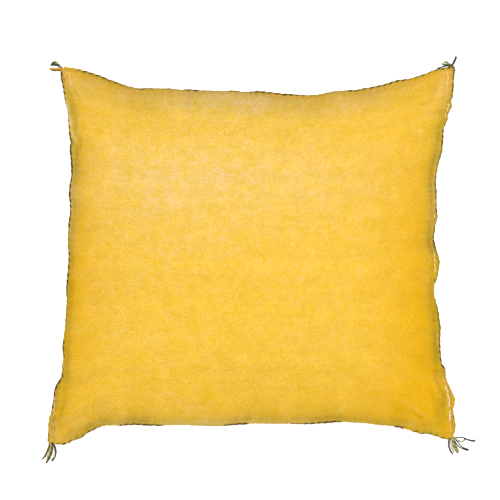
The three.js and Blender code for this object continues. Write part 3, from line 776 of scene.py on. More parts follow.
class Tubes:
    """Collects tubes of yarn and makes one object of them."""

    def __init__(self):
        self.points, self.faces, self.tints, self.materials = [], [], [], []
        self.count = 0

    def add(self, path, radius, tint, material, sides=8, lobes=0, depth=0.0, lay=0.0, flat=1.0):
        """A tube along path. radius and tint hold for all of it or for each of its points.

        It has lobes ridges, depth times its radius high, which turn by lay radians to a millimetre.
        flat is its height as a share of its width.
        """
        path = np.asarray(path, float)
        rings = len(path)
        side, up = frames_of(path)
        angle = np.linspace(0, 2 * np.pi, sides, endpoint=False)[None, :]
        run = run_along(path)
        radius = np.broadcast_to(np.asarray(radius, float), rings)[:, None]
        if lobes:
            radius = radius * (1 + depth * np.cos(lobes * angle + lay * run[:, None]))
        ring = path[:, None] + (radius * np.cos(angle))[..., None] * side[:, None]
        ring = ring + (radius * np.sin(angle) * flat)[..., None] * up[:, None]
        base = self.count
        for i in range(rings - 1):
            for k in range(sides):
                a, b = base + i * sides + k, base + i * sides + (k + 1) % sides
                self.faces.append((a, b, b + sides, a + sides))
        self.faces.append(tuple(base + k for k in reversed(range(sides))))
        self.faces.append(tuple(base + (rings - 1) * sides + k for k in range(sides)))
        self.materials += [material] * ((rings - 1) * sides + 2)
        self.points.append(ring.reshape(-1, 3))
        tint = np.broadcast_to(np.asarray(tint, float), (rings, 3))
        self.tints.append(np.repeat(tint, sides, axis=0))
        self.count += rings * sides

    def make(self, name, materials):
        piece = mesh_object(name, np.vstack(self.points), self.faces)
        tints = np.vstack(self.tints)
        colours = np.column_stack([tints, np.ones(len(tints))])
        write_vectors(piece.data, "tint", colours, "FLOAT_COLOR", "color")
        for material in materials:
            piece.data.materials.append(material)
        piece.data.polygons.foreach_set("material_index", self.materials)
        return piece


def frames_of(path):
    """Two directions across a path at each of its points, which turn as little as they can."""
    tangent = unit(np.gradient(path, axis=0))
    start = np.array([0, 0, 1.0]) if abs(tangent[0, 2]) < 0.8 else np.array([1.0, 0, 0])
    up = np.empty_like(path)
    held = start
    for i, t in enumerate(tangent):
        held = held - t * held.dot(t)
        held /= np.linalg.norm(held)
        up[i] = held
    return np.cross(tangent, up), up


def wind(path, radius, pitch, phase, uneven=None, width=1.0):
    """A path that winds round another one, as a ply does in a yarn twisted to the left.

    width is how far it swings to the sides, as a share of how far it swings up and down.
    """
    side, up = frames_of(path)
    run = run_along(path)
    turn = phase - 2 * np.pi * run / pitch
    if uneven is not None:
        turn = turn + uneven
    return path + radius * (np.cos(turn)[:, None] * up + width * np.sin(turn)[:, None] * side)


# Silk and yarn along the edge

YARN, SILK = 0, 1
CORD_PITCH = 8.4
CORD_STEP = 0.6
CORD_OVERRUN = 2.4  # past each corner, to where the next side's cord ends
WRAP_RADIUS = 1.0
WRAP_HELIX = 0.5
CORE_RADIUS = 0.75
CORE_HELIX = 0.16
HELIX_WIDTH = 0.4
CORD_PHASE = 0.4
CORD_TUCKED = 0.8  # of its middle past the seam where the cloth hides it
CORD_SHOWN = 2.75  # and how much further out it stands where it shows
CORD_DROP = 2.6  # of its middle below the seam where the cloth hides it
CORD_LIFT = 4.2  # and how much higher it is where it shows
STITCH_UNEVEN = 1.3
THICKNESS_UNEVEN = 0.24
SILK_UNEVEN = 0.1
BUNDLE_RADIUS = 0.95
BUNDLE_INSET = 1.3
BUNDLE_DROP = 0.6


def cord_path(side):
    """The middle of the cord on one side, its directions out, and each point's share of the way along."""
    run = length_of(SEAMS[side])
    past = CORD_OVERRUN / run
    reached = np.linspace(-past, 1 + past, int(run / CORD_STEP))
    share = np.clip(reached, 0, 1)
    out = column(CORD_STRETCHES[side], share)
    outward = at_share(OUTWARD[side], share)
    along = np.column_stack([-outward[:, 1], outward[:, 0], outward[:, 2]]) * SIDE_ENDS[side][2]
    path = at_share(SEAMS[side], share) + along * ((reached - share) * run)[:, None]
    stands_out = CORD_TUCKED + CORD_SHOWN * smoothstep(2 * out) + column(EDGE_WAVES[side], share)
    path += outward * stands_out[:, None]
    path[:, 2] += CORD_LIFT * out - CORD_DROP
    return path, outward, share


def yarns_along(side, share, index):
    """The colour of the winding yarn or of the core at each share of the way along a side."""
    named = [row for row in CORD_STRETCHES[side] if len(row) > index]
    found = np.searchsorted([row[0] for row in named], share, side="right") - 1
    return np.array([YARNS[named[i][index]] for i in found])


def add_cord(tubes, side, rng):
    """The cord: a silk core that a yarn winds round, and the silk bundle behind them, under the lip."""
    path, outward, share = cord_path(side)
    steps = len(path) - 1
    uneven = wander(steps, steps // 26, rng) * STITCH_UNEVEN
    thick = 1 + THICKNESS_UNEVEN * wander(steps, steps // 12, rng)
    shade = (1 + SILK_UNEVEN * wander(steps, steps // 20, rng))[:, None]
    wrap = wind(path, WRAP_HELIX, CORD_PITCH, CORD_PHASE, uneven, HELIX_WIDTH)
    core = wind(path, CORE_HELIX, CORD_PITCH, CORD_PHASE + np.pi, uneven, HELIX_WIDTH)
    bundle = path - outward * BUNDLE_INSET - [0, 0, BUNDLE_DROP]
    tubes.add(wrap, WRAP_RADIUS * thick, yarns_along(side, share, 2), YARN,
              sides=10, lobes=3, depth=0.1, lay=1.9)
    tubes.add(core, CORE_RADIUS * thick[::-1], yarns_along(side, share, 3) * shade, SILK,
              sides=10, lobes=4, depth=0.08, lay=1.4)
    tubes.add(bundle, BUNDLE_RADIUS * thick, np.array(YARNS[BUNDLE_YARN]) * shade, SILK,
              sides=10, lobes=5, depth=0.08, lay=1.2)


# Strands of silk on each side's lip: yarns of the two plies, radius of a ply, pitch of its twist, first
# and last share of the way along, and how far inside the even outline each of its steps is.
# Their straw and cream plies are partly the silk's own pale colour and partly painted highlight where it
# shines.
LIP_STRANDS = {
    "bottom": (
        ("orange", "honey", 0.5, 8, 0.872, 0.888, (1.6, 1.2, 1.6)),
    ),
    "top": (
        ("honey", "orange", 0.5, 8.4, 0.515, 0.63, (3, 3.2, 3)),
        ("orange", "honey", 0.62, 12, 0, 0.028, (1.8, 2, 1.9)),
    ),
    "left": (
        ("orange", "honey", 0.34, 16, 0.002, 0.11, (1.6, 1.9, 1.8, 1.4)),
        ("brown", "gold", 0.2, 22, 0.002, 0.1, (2.9, 3.1, 2.8, 2.4)),
        ("straw", "cream", 0.26, 16, 0.004, 0.05, (4, 4.1, 3.8)),
        ("gold", "brown", 0.2, 22, 0.002, 0.07, (5, 5.1, 4.8)),
        ("cream", "honey", 0.4, 4.6, 0.062, 0.11, (4, 3.5, 2.6)),
        ("orange", "honey", 0.3, 14, 0.004, 0.04, (6.2, 6.4, 6.2)),
        ("gold", "honey", 0.5, 8, 0.165, 0.19, (2.2, 2.4, 2)),
        ("straw", "gold", 0.4, 5, 0.193, 0.218, (1.8, 2, 1.8)),
        ("orange", "gold", 0.62, 12, 1, 0.955, (1.5, 1.9, 2.1)),
        ("orange", "honey", 0.4, 14, 1, 0.945, (2.9, 3.2, 3.5, 3.2)),
        ("straw", "honey", 0.32, 14, 1, 0.95, (5, 5.4, 5.6)),
        ("orange", "honey", 0.3, 14, 0.998, 0.96, (6.6, 7, 7)),
        ("straw", "cream", 0.26, 14, 0.998, 0.962, (8.2, 8.8, 9.2)),
        ("orange", "honey", 0.24, 14, 0.998, 0.97, (10.6, 11.4, 12)),
    ),
    "right": (
        ("honey", "gold", 0.66, 7, 0.172, 0, (1.2, 1.8, 2, 2.2, 1.2, 0.4, 0.6)),
        ("honey", "gold", 0.6, 6, 0.165, 0.01, (3.2, 3.4, 3.8, 3.4, 2.4, 1.6, 2)),
        ("cream", "straw", 0.72, 9, 0.136, 0.078, (4.4, 4.8, 4.4)),
        ("straw", "yellow", 0.55, 8, 0.162, 0.13, (4.6, 4, 3.6)),
        ("straw", "cream", 0.68, 9, 0.068, 0.036, (4, 4.4, 4.2)),
        ("straw", "honey", 0.5, 6.2, 0.034, 0.002, (3.2, 3.4, 2.8)),
        ("yellow", "honey", 0.45, 6, 0.12, 0.08, (6.2, 6.6, 6.2)),
        ("yellow", "honey", 0.42, 6, 0.062, 0.034, (6.2, 6.4, 6)),
        ("straw", "yellow", 0.28, 14, 0.245, 0.285, (3.6, 3.4, 3.2)),
        ("straw", "cream", 0.32, 14, 0.448, 0.503, (3.1, 5.2, 6.2, 5.4)),
        ("straw", "honey", 0.45, 10, 0.598, 0.62, (3.4, 4, 4.2)),
        ("straw", "yellow", 0.5, 6, 0.872, 0.886, (1.8, 2.4, 2.6)),
        ("cream", "honey", 0.7, 5.4, 0.888, 0.91, (1.8, 0.8, 0)),
        ("straw", "honey", 0.28, 14, 1, 0.966, (3.4, 3, 2.4)),
        ("orange", "orange", 0.34, 14, 1, 0.957, (4.9, 4.5, 4)),
        ("straw", "cream", 0.3, 14, 0.998, 0.962, (6.8, 6.2, 5.2)),
    ),
}
STRAND_STEP = 0.6
STRAND_WAVE = 11.0
STRAND_SWAY = 0.3
STRAND_LIFT = 0.6  # of its middle off the cloth, as a share of a ply's radius
RAY_HEIGHT = 300
PLY_SPREAD = 0.85  # how far a ply winds from the middle, as a share of its radius
PLY_UNEVEN = 0.12


class Ground:
    """The finished cushion, as what strands are laid on."""

    def __init__(self, cushion):
        points = points_of(cushion.data)
        polygons = [tuple(p.vertices) for p in cushion.data.polygons]
        self.tree = BVHTree.FromPolygons(points.tolist(), polygons)

    def height(self, x, y, otherwise):
        hit = self.tree.ray_cast(Vector((x, y, RAY_HEIGHT)), Vector((0, 0, -1)))[0]
        return hit.z if hit else otherwise

    def lay(self, route, lift, otherwise):
        """The level route's points, each lifted off the cloth below it."""
        return np.array([(x, y, self.height(x, y, otherwise) + lift) for x, y in route])


def outline_corner(name):
    x, y, height = CORNERS[name]
    return np.array([x, y, height]) + SHIFT


def level_out(path, reach=4):
    """A path whose heights are evened out over reach points on both sides."""
    padded = np.pad(path[:, 2], reach, mode="edge")
    kernel = np.ones(2 * reach + 1) / (2 * reach + 1)
    result = path.copy()
    result[:, 2] = np.convolve(padded, kernel, mode="valid")
    return result


def add_two_ply(tubes, path, radius, yarns, pitch, material, rng, taper):
    """A strand of two plies that wind round each other. taper is its thickness at each point."""
    phase = rng.uniform(0, 2 * np.pi)
    for ply, yarn in enumerate(yarns):
        ply_path = wind(path, (radius * PLY_SPREAD * taper)[:, None], pitch, phase + np.pi * ply)
        shade = 1 + PLY_UNEVEN * wander(len(path) - 1, max(2, len(path) // 10), rng)
        tint = np.array(YARNS[yarn]) * shade[:, None]
        tubes.add(ply_path, radius * taper, tint, material, lobes=3, depth=0.1, lay=2.6)


def add_lip_strand(tubes, side, row, ground, rng):
    first, second, radius, pitch, start, end, insets = row
    share = np.linspace(start, end, len(insets))
    seam, outward = at_share(SEAMS[side], share), at_share(OUTWARD[side], share)
    corners = seam + outward * (SEAM_TO_OUTLINE - np.array(insets))[:, None]
    steps = max(8, int(length_of(corners) / STRAND_STEP))
    flat = spline(corners, steps)
    wave = np.sin(np.linspace(0, 1, steps + 1) * length_of(flat) / STRAND_WAVE * 2 * np.pi)
    flat = flat + frames_of(flat)[0] * (wave * STRAND_SWAY)[:, None]
    path = level_out(ground.lay(flat[:, :2], radius * STRAND_LIFT, seam[0, 2]))
    add_two_ply(tubes, path, radius, (first, second), pitch, SILK, rng, np.ones(len(path)))


def make_edge(side, ground, materials, rng):
    tubes = Tubes()
    add_cord(tubes, side, rng)
    for row in LIP_STRANDS[side]:
        add_lip_strand(tubes, side, row, ground, rng)
    return tubes.make(f"edge_stitching_{side}", materials)


# The strands of each tassel: yarns of the two plies, radius of a ply, how far its end sinks, number of
# loose fibres at its end, and its route, counted from the corner of the outline.
TASSELS = {
    "bottom_right": (
        ("slate", "slate", 0.72, 2, 16,
         ((-3.4, 1.6), (-4.9, -1.5), (-5.4, -8.6), (-3.4, -15.4), (-0.2, -19.8))),
        ("ecru", "ecru", 0.9, 0, 20, ((-2.5, 1.6), (-2.5, -4.9), (-1.7, -10.4), (0.4, -16.4))),
        ("olive", "sage", 1.05, 2, 44, ((-0.6, 1), (0, -6.2), (2.2, -11.8), (5.4, -17.4))),
        ("sage", "olive", 0.6, 1, 24, ((0.4, 0.6), (1.6, -6), (4, -10.6), (6.6, -14.8))),
        ("slate", "slate", 0.5, 1, 3, ((0, 0.6), (3.1, -5.6), (5.9, -9.3), (9.9, -11.9), (15.4, -13.8))),
        ("slate", "slate", 0.46, 0, 3, ((1.4, 0.4), (5.2, -4.1), (8.2, -8), (11, -10.5), (15.4, -13.1))),
        ("slate", "slate", 1, 0, 12, ((13.4, -12.6), (15.8, -13.6), (18.8, -14.3))),
        ("slate", "slate", 0.55, 1, 0, ((0.6, 0.6), (5.4, 1), (10.9, 1.2), (15, -0.4))),
        ("slate", "slate", 0.7, -1, 8,
         ((12.6, 0.6), (14.8, -0.4), (18.6, -1.7), (23.6, -2.6), (27.4, -2.2))),
        ("slate", "sage", 0.46, 1, 6, ((16, -1), (19.6, -2.4), (23, -3.5), (26.6, -5))),
        ("sage", "sage", 0.66, 1, 0, ((1.2, 0), (5.4, -2.4), (9.6, -4), (12.8, -3.1), (15.2, -0.6))),
    ),
    "bottom_left": (
        ("olive", "umber", 0.9, 1, 20, ((0.8, 1), (0.2, -3), (-1.8, -9), (-5.4, -16.4), (-8.8, -20.8))),
        ("ecru", "sage", 0.72, 4, 14, ((1.6, 1), (1.7, -3), (0.6, -10.8), (-2, -17.2), (-4, -21.6))),
        ("moss", "olive", 0.92, 0, 20, ((2.8, 0.6), (3.2, -3), (2.8, -11), (-0.2, -19), (-4, -25.4))),
        ("slate", "slate", 0.86, 2, 20, ((4, 0.6), (5.2, -3), (7.4, -10.6), (6.4, -17.4), (3.4, -23))),
        ("slate", "sage", 0.5, 2, 14, ((7, -13), (5.6, -18), (2.4, -22))),
    ),
    "top_left": (
        ("slate", "olive", 0.8, 1, 26, ((0.4, -0.6), (-2.4, 2), (-5.6, 4.8), (-9.6, 6.2), (-13, 6.4))),
        ("slate", "slate", 0.8, 3, 26, ((0.4, -0.6), (-2.6, 1.6), (-6.4, 3.7), (-11, 4.4), (-14, 3.8))),
        ("slate", "sage", 0.66, 0, 22, ((0.2, -0.4), (-2.8, 2.4), (-6, 5.6), (-9.4, 7.4), (-11.8, 8))),
        ("olive", "cream", 0.36, -2, 12, ((0.2, -0.4), (-2.4, 2.6), (-5.4, 6.2), (-7.6, 8.6), (-9, 10))),
        ("orange", "orange", 0.9, 1, 12, ((2.4, -1.8), (-3, -0.6), (-9.3, -0.7), (-15.8, -0.4))),
        # This brown strand, under the orange one, stands in for that strand's shaded underside: painted
        # shade.
        ("brown", "olive", 0.75, 1, 9, ((-2.4, -2.4), (-5.6, -2.4), (-9.8, -2.6), (-14.6, -1.6))),
    ),
    "top_right": (
        ("slate", "slate", 0.95, 0, 6, ((-2.5, 1.4), (-1.4, 3.4), (0.6, 6.6), (2.3, 10.4), (3.4, 13.8))),
        ("slate", "slate", 0.6, -6, 6, ((-2.6, 1.2), (-7.4, 2), (-12.3, 1.2), (-18, -1), (-20.4, -1.6))),
        ("slate", "slate", 0.62, -8, 9, ((-3, 1.4), (-6.2, 2.5), (-11, 3.1), (-15, 3.6))),
        ("sage", "straw", 1, 0, 16, ((-1.6, 1), (-3.7, 3), (-6.2, 4.4), (-9.3, 6.6), (-11.8, 6.4))),
        ("olive", "sage", 0.85, -1, 10, ((-2, 1.4), (-4.6, 3.6), (-7.4, 5.4), (-9, 6.8))),
        ("olive", "umber", 0.8, -1, 0, ((-5.2, 2.2), (-2.2, 1.9), (0, 0.2), (0.9, -2.4), (0.9, -6.4))),
    ),
}

# The winding that holds each tassel at its corner: yarn, direction out in degrees, middle, radius, turns.
WINDINGS = {
    "bottom_right": ("orange", -62, (-1, -0.2), 1.5, 3),
    "bottom_left": ("olive", -100, (2.2, -1), 1.5, 3),
    "top_left": ("orange", 150, (0.6, -1.2), 1.9, 3),
    "top_right": ("olive", 128, (-2.2, 1), 1.2, 3),
}
FRAY_START = 0.8  # share of the way along from which a strand gets thinner
FRAY_THINNING = 0.3
FRAY_SPREAD = 0.24
FRAY_LENGTHS = (1.8, 4.6)
FRAY_RADII = (0.1, 0.2)
FRAY_TIP = 0.4  # thickness of a fibre's tip, as a share of its root's
FRAY_SHADES = (0.8, 1.5)
FRAY_STEPS = 6
LAYER_HEIGHT = 0.8  # between the strands that cross
YARN_PITCH = 6.4
YARN_STEP = 0.6
WINDING_YARN = 0.5  # radius
WINDING_PITCH = 0.84
WINDING_HEIGHT = 0.72  # as a share of its width
WINDING_STEPS = 26  # to a turn
WINDING_UNEVEN = 0.08
WINDING_CORE = (-2.6, 2.2)  # how far the roots reach in and out


def add_fray(tubes, path, radius, count, yarn, rng):
    """Loose fibres that leave the end of a strand."""
    end, heading = path[-3], unit(path[-1] - path[-5])
    for _ in range(count):
        spread = unit(heading + rng.normal(0, FRAY_SPREAD, 3) * [1, 1, 0.7])
        start = end + rng.normal(0, radius * 0.6, 3) - heading * rng.uniform(0.5, 2)
        bend = rng.normal(0, 0.8, 3)
        reach = rng.uniform(*FRAY_LENGTHS)
        middle = start + spread * reach * 0.5 + bend * 0.15
        fibre = spline([start, middle, start + spread * reach + bend * 0.5], FRAY_STEPS)
        thin = np.linspace(1, FRAY_TIP, FRAY_STEPS + 1)
        tint = np.array(YARNS[yarn]) * rng.uniform(*FRAY_SHADES)
        tubes.add(fibre, rng.uniform(*FRAY_RADII) * thin, tint, YARN, sides=5)


def add_winding(tubes, row, corner, rng):
    """A few turns of yarn round the roots of the strands."""
    yarn, heading, (dx, dy), radius, turns = row
    angle = math.radians(heading)
    out = np.array([math.cos(angle), math.sin(angle), 0])
    across = np.array([-out[1], out[0], 0])
    turn = np.linspace(0, 2 * np.pi * turns, WINDING_STEPS * turns)
    along = np.linspace(-0.9, 0.9, len(turn)) * turns * (WINDING_PITCH / 2)
    wobble = 1 + WINDING_UNEVEN * wander(len(turn) - 1, 3 * turns, rng)
    middle = corner + [dx, dy, 0]
    path = middle + along[:, None] * out
    path = path + (radius * wobble * np.cos(turn))[:, None] * across * 0.95
    path[:, 2] += radius * WINDING_HEIGHT * wobble * np.sin(turn)
    tint = np.array(YARNS[yarn])
    tubes.add(path, WINDING_YARN, tint, YARN, sides=10, lobes=3, depth=0.12, lay=2.4)
    core = middle + np.linspace(*WINDING_CORE, 8)[:, None] * out
    plump = np.sin(np.linspace(0.35, np.pi - 0.35, 8)) * radius * 0.9
    tubes.add(core, plump, tint * 0.8, YARN, sides=12, flat=0.75)


def make_tassel(corner, materials, rng):
    place = outline_corner(corner)
    tubes = Tubes()
    for number, (first, second, radius, sink, fibres, route) in enumerate(TASSELS[corner]):
        level = (number % 3 - 1) * LAYER_HEIGHT
        share = np.linspace(0, 1, len(route))
        points = [place + (x, y, level * min(1, 3 * t) - sink * t * t) for (x, y), t in zip(route, share)]
        steps = max(12, int(length_of(np.array(points)) / YARN_STEP))
        path = spline(points, steps)
        past = (np.linspace(0, 1, steps + 1) - FRAY_START) / (1 - FRAY_START)
        taper = 1 - FRAY_THINNING * smoothstep(past)
        add_two_ply(tubes, path, radius, (first, second), YARN_PITCH, YARN, rng, taper)
        add_fray(tubes, path, radius, fibres, first, rng)
    add_winding(tubes, WINDINGS[corner], place, rng)
    return tubes.make(f"tassel_yarn_{corner}", materials)


# Materials

class Wire:
    """A number, vector or colour in a node tree. Plain arithmetic joins numbers with Math nodes."""

    def __init__(self, tree, socket):
        self.tree, self.socket = tree, socket

    def math(self, operation, *others):
        node = self.tree.nodes.new("ShaderNodeMath")
        node.operation = operation
        for slot, value in zip(node.inputs, (self, *others)):
            plug(self.tree, slot, value)
        return Wire(self.tree, node.outputs[0])

    def __add__(self, other):
        return self.math("ADD", other)

    def __sub__(self, other):
        return self.math("SUBTRACT", other)

    def __mul__(self, other):
        return self.math("MULTIPLY", other)

    def __truediv__(self, other):
        return self.math("DIVIDE", other)

    def rise(self, low, high):
        """0 below low, 1 above high, and smooth between them."""
        node = self.tree.nodes.new("ShaderNodeMapRange")
        node.interpolation_type = "SMOOTHSTEP"
        plug(self.tree, node.inputs["Value"], self)
        node.inputs["From Min"].default_value = low
        node.inputs["From Max"].default_value = high
        return Wire(self.tree, node.outputs[0])


def plug(tree, slot, value):
    if isinstance(value, Wire):
        tree.links.new(value.socket, slot)
    else:
        slot.default_value = value


def noise(tree, vector, scale, detail=2.0, roughness=0.5):
    node = tree.nodes.new("ShaderNodeTexNoise")
    tree.links.new(vector.socket, node.inputs["Vector"])
    node.inputs["Scale"].default_value = scale
    node.inputs["Detail"].default_value = detail
    node.inputs["Roughness"].default_value = roughness
    return Wire(tree, node.outputs["Fac"])


def stretched(tree, vector, scales):
    """A vector or a colour with each of its three parts multiplied by its own number."""
    node = tree.nodes.new("ShaderNodeVectorMath")
    node.operation = "MULTIPLY"
    plug(tree, node.inputs[0], vector)
    plug(tree, node.inputs[1], scales)
    return Wire(tree, node.outputs[0])


def attribute(tree, name):
    node = tree.nodes.new("ShaderNodeAttribute")
    node.attribute_name = name
    return node


def split(tree, vector):
    node = tree.nodes.new("ShaderNodeSeparateXYZ")
    tree.links.new(vector.socket, node.inputs[0])
    return [Wire(tree, output) for output in node.outputs]


def blend(tree, share, low, high):
    """Two colours mixed by a share."""
    node = tree.nodes.new("ShaderNodeMix")
    node.data_type = "RGBA"
    plug(tree, node.inputs["Factor"], share)
    for slot, value in ((node.inputs[6], low), (node.inputs[7], high)):
        plug(tree, slot, value if isinstance(value, Wire) else (*value, 1))
    return Wire(tree, node.outputs[2])


def brighten(tree, colour, factor):
    """A colour multiplied by a number."""
    node = tree.nodes.new("ShaderNodeVectorMath")
    node.operation = "SCALE"
    tree.links.new(colour.socket, node.inputs[0])
    plug(tree, node.inputs["Scale"], factor)
    return Wire(tree, node.outputs[0])


def vary(tree, colour, wave, hue):
    """A colour multiplied by 1 plus a wave that reaches each of its channels by another share."""
    node = tree.nodes.new("ShaderNodeCombineXYZ")
    for slot, share in zip(node.inputs, hue):
        plug(tree, slot, wave * share + 1)
    return stretched(tree, colour, Wire(tree, node.outputs[0]))


def surface(name, roughness, specular, sheen, sheen_roughness):
    """A new material, with its node tree and its shader."""
    material = bpy.data.materials.new(name)
    material.use_nodes = True
    tree = material.node_tree
    shader = tree.nodes["Principled BSDF"]
    shader.inputs["Roughness"].default_value = roughness
    shader.inputs["Specular IOR Level"].default_value = specular
    shader.inputs["Sheen Weight"].default_value = sheen
    shader.inputs["Sheen Roughness"].default_value = sheen_roughness
    return material, tree, shader


def raise_by(tree, shader, height, distance, strength):
    node = tree.nodes.new("ShaderNodeBump")
    node.inputs["Strength"].default_value = strength
    node.inputs["Distance"].default_value = distance
    plug(tree, node.inputs["Height"], height)
    tree.links.new(node.outputs["Normal"], shader.inputs["Normal"])


THREAD = 0.94 * MM
TWILL = 4  # threads to a repeat
SWAY = 2.6 * MM
JITTER = 0.5 * MM
RIB_LEAST = 0.08  # of the twill that shows where no patch makes it stronger
RIB_HUE = (0.19, 0.235, 1.15)  # how much a rib changes red, green and blue
RELIEF = 0.22 * MM
FIBRE_RELIEF = 0.12 * MM

# Features to a metre along the weft and across it.
STREAKS = (7, 900, 1)
BANDS = (1.5, 48, 1)
SLUBS = (110, 620, 1)
GLOSS_GRAIN = (60, 500, 1)
FIBRES = (900, 3200, 1)

# Mottling of the cloth: features to a metre, octaves, how much it changes red, green and blue.
HUES = (
    (900, 2, (0.18, 0.2, 1.2)), (520, 1, (0.24, 0.29, 2)), (300, 1, (0.09, 0.12, 1.2)),
    (150, 1, (0.08, 0.1, 1.2)), (60, 1, (0.05, 0.06, 1.1)), (22, 1, (0.02, 0.03, 0.8)),
)


def twill_threads(tree, panel, p, q, falls):
    """How far the twill's ribs and its single threads stand out."""
    sway = (noise(tree, panel, 14) - 0.5) * SWAY
    jitter = (noise(tree, panel, 160) - 0.5) * JITTER
    a = (p + sway + jitter) / THREAD
    b = (q - sway * 0.6 + jitter) / THREAD
    turn = 2 * math.pi
    rising = ((a - b) * (turn / TWILL)).math("COSINE")
    falling = ((a + b) * (turn / TWILL)).math("COSINE")
    lean = (falls + (noise(tree, panel, 30, 1) - 0.5) * 0.5).rise(0.35, 0.65)
    rib = rising + (falling - rising) * lean
    over = (rib * 1.6 + 0.5).math("MINIMUM", 1.0).math("MAXIMUM", 0.0)
    warp = (a * (turn / 2)).math("SINE").math("ABSOLUTE")
    weft = (b * (turn / 2)).math("SINE").math("ABSOLUTE")
    return rib, over * warp + (over * -1 + 1) * weft * 0.85


def cloth_light(tree, panel, p, q, relief):
    """What the cloth's colour is multiplied by: its uneven weft, slubs, threads, shade and specks.

    The threads and the shade are painted shade, in the grooves between threads and towards the edges.
    """
    streak = noise(tree, stretched(tree, panel, STREAKS), 1.0, 1)
    band = noise(tree, stretched(tree, panel, BANDS), 1.0, 2)
    mottle = noise(tree, panel, 42, 3, 0.6)
    slub = noise(tree, stretched(tree, panel, SLUBS), 1.0, 1).rise(0.7, 0.8)
    light = ((streak - 0.5) * 0.12 + 1) * ((band - 0.5) * 0.14 + 1) * ((mottle - 0.5) * 0.2 + 1)
    # Painted shade in the grooves between the threads.
    light = light * (slub * 0.12 + 1) * (relief * 0.12 + 0.92)
    # Painted shade towards the edges, written on the mesh.
    light = light * Wire(tree, attribute(tree, "light").outputs["Fac"])
    for x, y, radius, shade in SPECKS:
        light = light * speck(tree, p, q, (x * MM, y * MM), radius * MM, shade)
    return light


def cloth_material():
    """Twill in two directions, with uneven weft, pale slubs and a few specks."""
    material, tree, shader = surface("handwoven_twill", 0.66, 0.06, 0.05, 0.45)
    shader.inputs["Sheen Tint"].default_value = (1, 0.8, 0.35, 1)
    panel, tint, weave = (
        Wire(tree, attribute(tree, name).outputs["Vector"]) for name in ("panel", "tint", "weave")
    )
    p, q, _ = split(tree, panel)
    pale, amber, olive = split(tree, tint)
    falls, strength, cream = split(tree, weave)
    rib, relief = twill_threads(tree, panel, p, q, falls)
    # Pale is partly painted glare, amber partly painted shade, and olive painted shade.
    colour = blend(tree, pale, CLOTH, CLOTH_PALE)
    colour = blend(tree, amber, colour, CLOTH_AMBER)
    colour = blend(tree, olive, colour, CLOTH_OLIVE_SHADE)
    warmth = noise(tree, panel, 95, 2, 0.55).rise(0.42, 0.72) * 0.3
    colour = blend(tree, warmth, colour, CLOTH_AMBER)
    # Cream is partly the cloth's own tone and partly painted highlight on fold tops and the lip's ridge.
    colour = blend(tree, cream, colour, CLOTH_CREAM)
    colour = vary(tree, colour, rib * (strength * (1 - RIB_LEAST) + RIB_LEAST), RIB_HUE)
    for scale, detail, hue in HUES:
        wave = (noise(tree, panel, scale, detail, 0.6) - 0.5) * (strength * 0.2 + 1.1)
        colour = vary(tree, colour, wave, hue)
    colour = brighten(tree, colour, cloth_light(tree, panel, p, q, relief))
    tree.links.new(colour.socket, shader.inputs["Base Color"])
    gloss = (noise(tree, stretched(tree, panel, GLOSS_GRAIN), 1.0, 2) - 0.5) * 0.2 + 0.62
    tree.links.new(gloss.socket, shader.inputs["Roughness"])
    fibres = noise(tree, stretched(tree, panel, FIBRES), 1.0, 2)
    raise_by(tree, shader, relief + rib * 0.5 + fibres * 0.3, RELIEF, 0.8)
    return material


def speck(tree, p, q, place, radius, shade):
    """A factor that is shade within radius of a place on the panel and 1 elsewhere."""
    dx, dy = p - place[0], q - place[1]
    near = (dx * dx + dy * dy).math("SQRT").rise(radius * 1.4, radius * 0.5)
    return near * (shade - 1) + 1


def strand_material(name, roughness, specular, sheen, fibre):
    """Twisted fibre whose colour is written on the mesh."""
    material, tree, shader = surface(name, roughness, specular, sheen, 0.5)
    own = attribute(tree, "tint").outputs["Color"]
    place = tree.nodes.new("ShaderNodeTexCoord").outputs["Object"]
    grain = noise(tree, Wire(tree, place), 1500, 3, 0.6)
    patch = noise(tree, Wire(tree, place), 260, 2)
    light = ((grain - 0.5) * fibre + 1) * ((patch - 0.5) * 0.35 + 1)
    colour = brighten(tree, Wire(tree, own), light)
    tree.links.new(colour.socket, shader.inputs["Base Color"])
    raise_by(tree, shader, grain, FIBRE_RELIEF, 0.7)
    return material


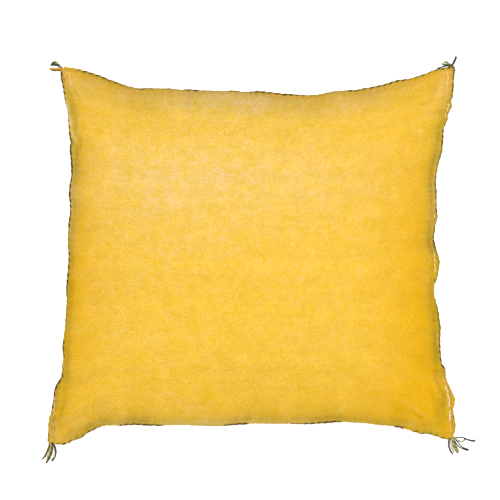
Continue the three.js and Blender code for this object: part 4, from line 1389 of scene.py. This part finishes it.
def floor_material():
    material, tree, shader = surface("pale_floor", 0.9, 0.1, 0.0, 0.5)
    shader.inputs["Base Color"].default_value = (0.93, 0.93, 0.93, 1)
    shader.inputs["Emission Color"].default_value = (1, 1, 1, 1)
    shader.inputs["Emission Strength"].default_value = FLOOR_GLOW
    return material


# The studio

def make_camera():
    data = bpy.data.cameras.new("camera")
    data.sensor_width = SENSOR
    data.lens = SENSOR * EYE_DISTANCE / VIEW_WIDTH
    camera = bpy.data.objects.new("camera", data)
    camera.location = (*VIEW_MIDDLE, SEAM_HEIGHT * MM + EYE_DISTANCE)
    bpy.context.scene.collection.objects.link(camera)
    bpy.context.scene.camera = camera


def make_studio():
    scene = bpy.context.scene
    scene.view_settings.view_transform = "Standard"
    world = bpy.data.worlds.new("studio")
    world.use_nodes = True
    sky = world.node_tree.nodes["Background"]
    sky.inputs["Color"].default_value = (1, 1, 1, 1)
    sky.inputs["Strength"].default_value = SKY_STRENGTH
    scene.world = world
    lamp = bpy.data.lights.new("key", "AREA")
    lamp.energy = KEY_POWER
    lamp.size = KEY_SIZE
    key = bpy.data.objects.new("key", lamp)
    key.location = KEY_PLACE
    key.rotation_mode = "QUATERNION"
    key.rotation_quaternion = (-Vector(KEY_PLACE)).to_track_quat("-Z", "Y")
    scene.collection.objects.link(key)
    half = FLOOR_SIZE / MM / 2
    corners = [(-half, -half), (half, -half), (half, half), (-half, half)]
    floor = mesh_object("floor", [(x, y, -FLOOR_DROP) for x, y in corners], [(0, 1, 2, 3)])
    floor.data.materials.append(floor_material())


def finish_piece(piece, node):
    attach(piece, "root")
    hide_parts(node)


rng = np.random.default_rng(SEED)
make_camera()
make_studio()

cushion = make_cushion()
folds = add_relief(cushion, rng)
shade_cloth(cushion, folds)
cushion.data.materials.append(cloth_material())
finish_piece(cushion, "cushion")

strand_materials = [
    strand_material("twisted_yarn", 0.9, 0.05, 0.04, 0.7),
    strand_material("loose_silk", 0.55, 0.18, 0.05, 0.35),
]
ground = Ground(cushion)
for side in SIDE_ENDS:
    edge = make_edge(side, ground, strand_materials, rng)
    finish_piece(edge, f"edge_bundle_{side}")
for corner in TASSELS:
    tassel = make_tassel(corner, strand_materials, rng)
    finish_piece(tassel, f"tassel_{corner}")
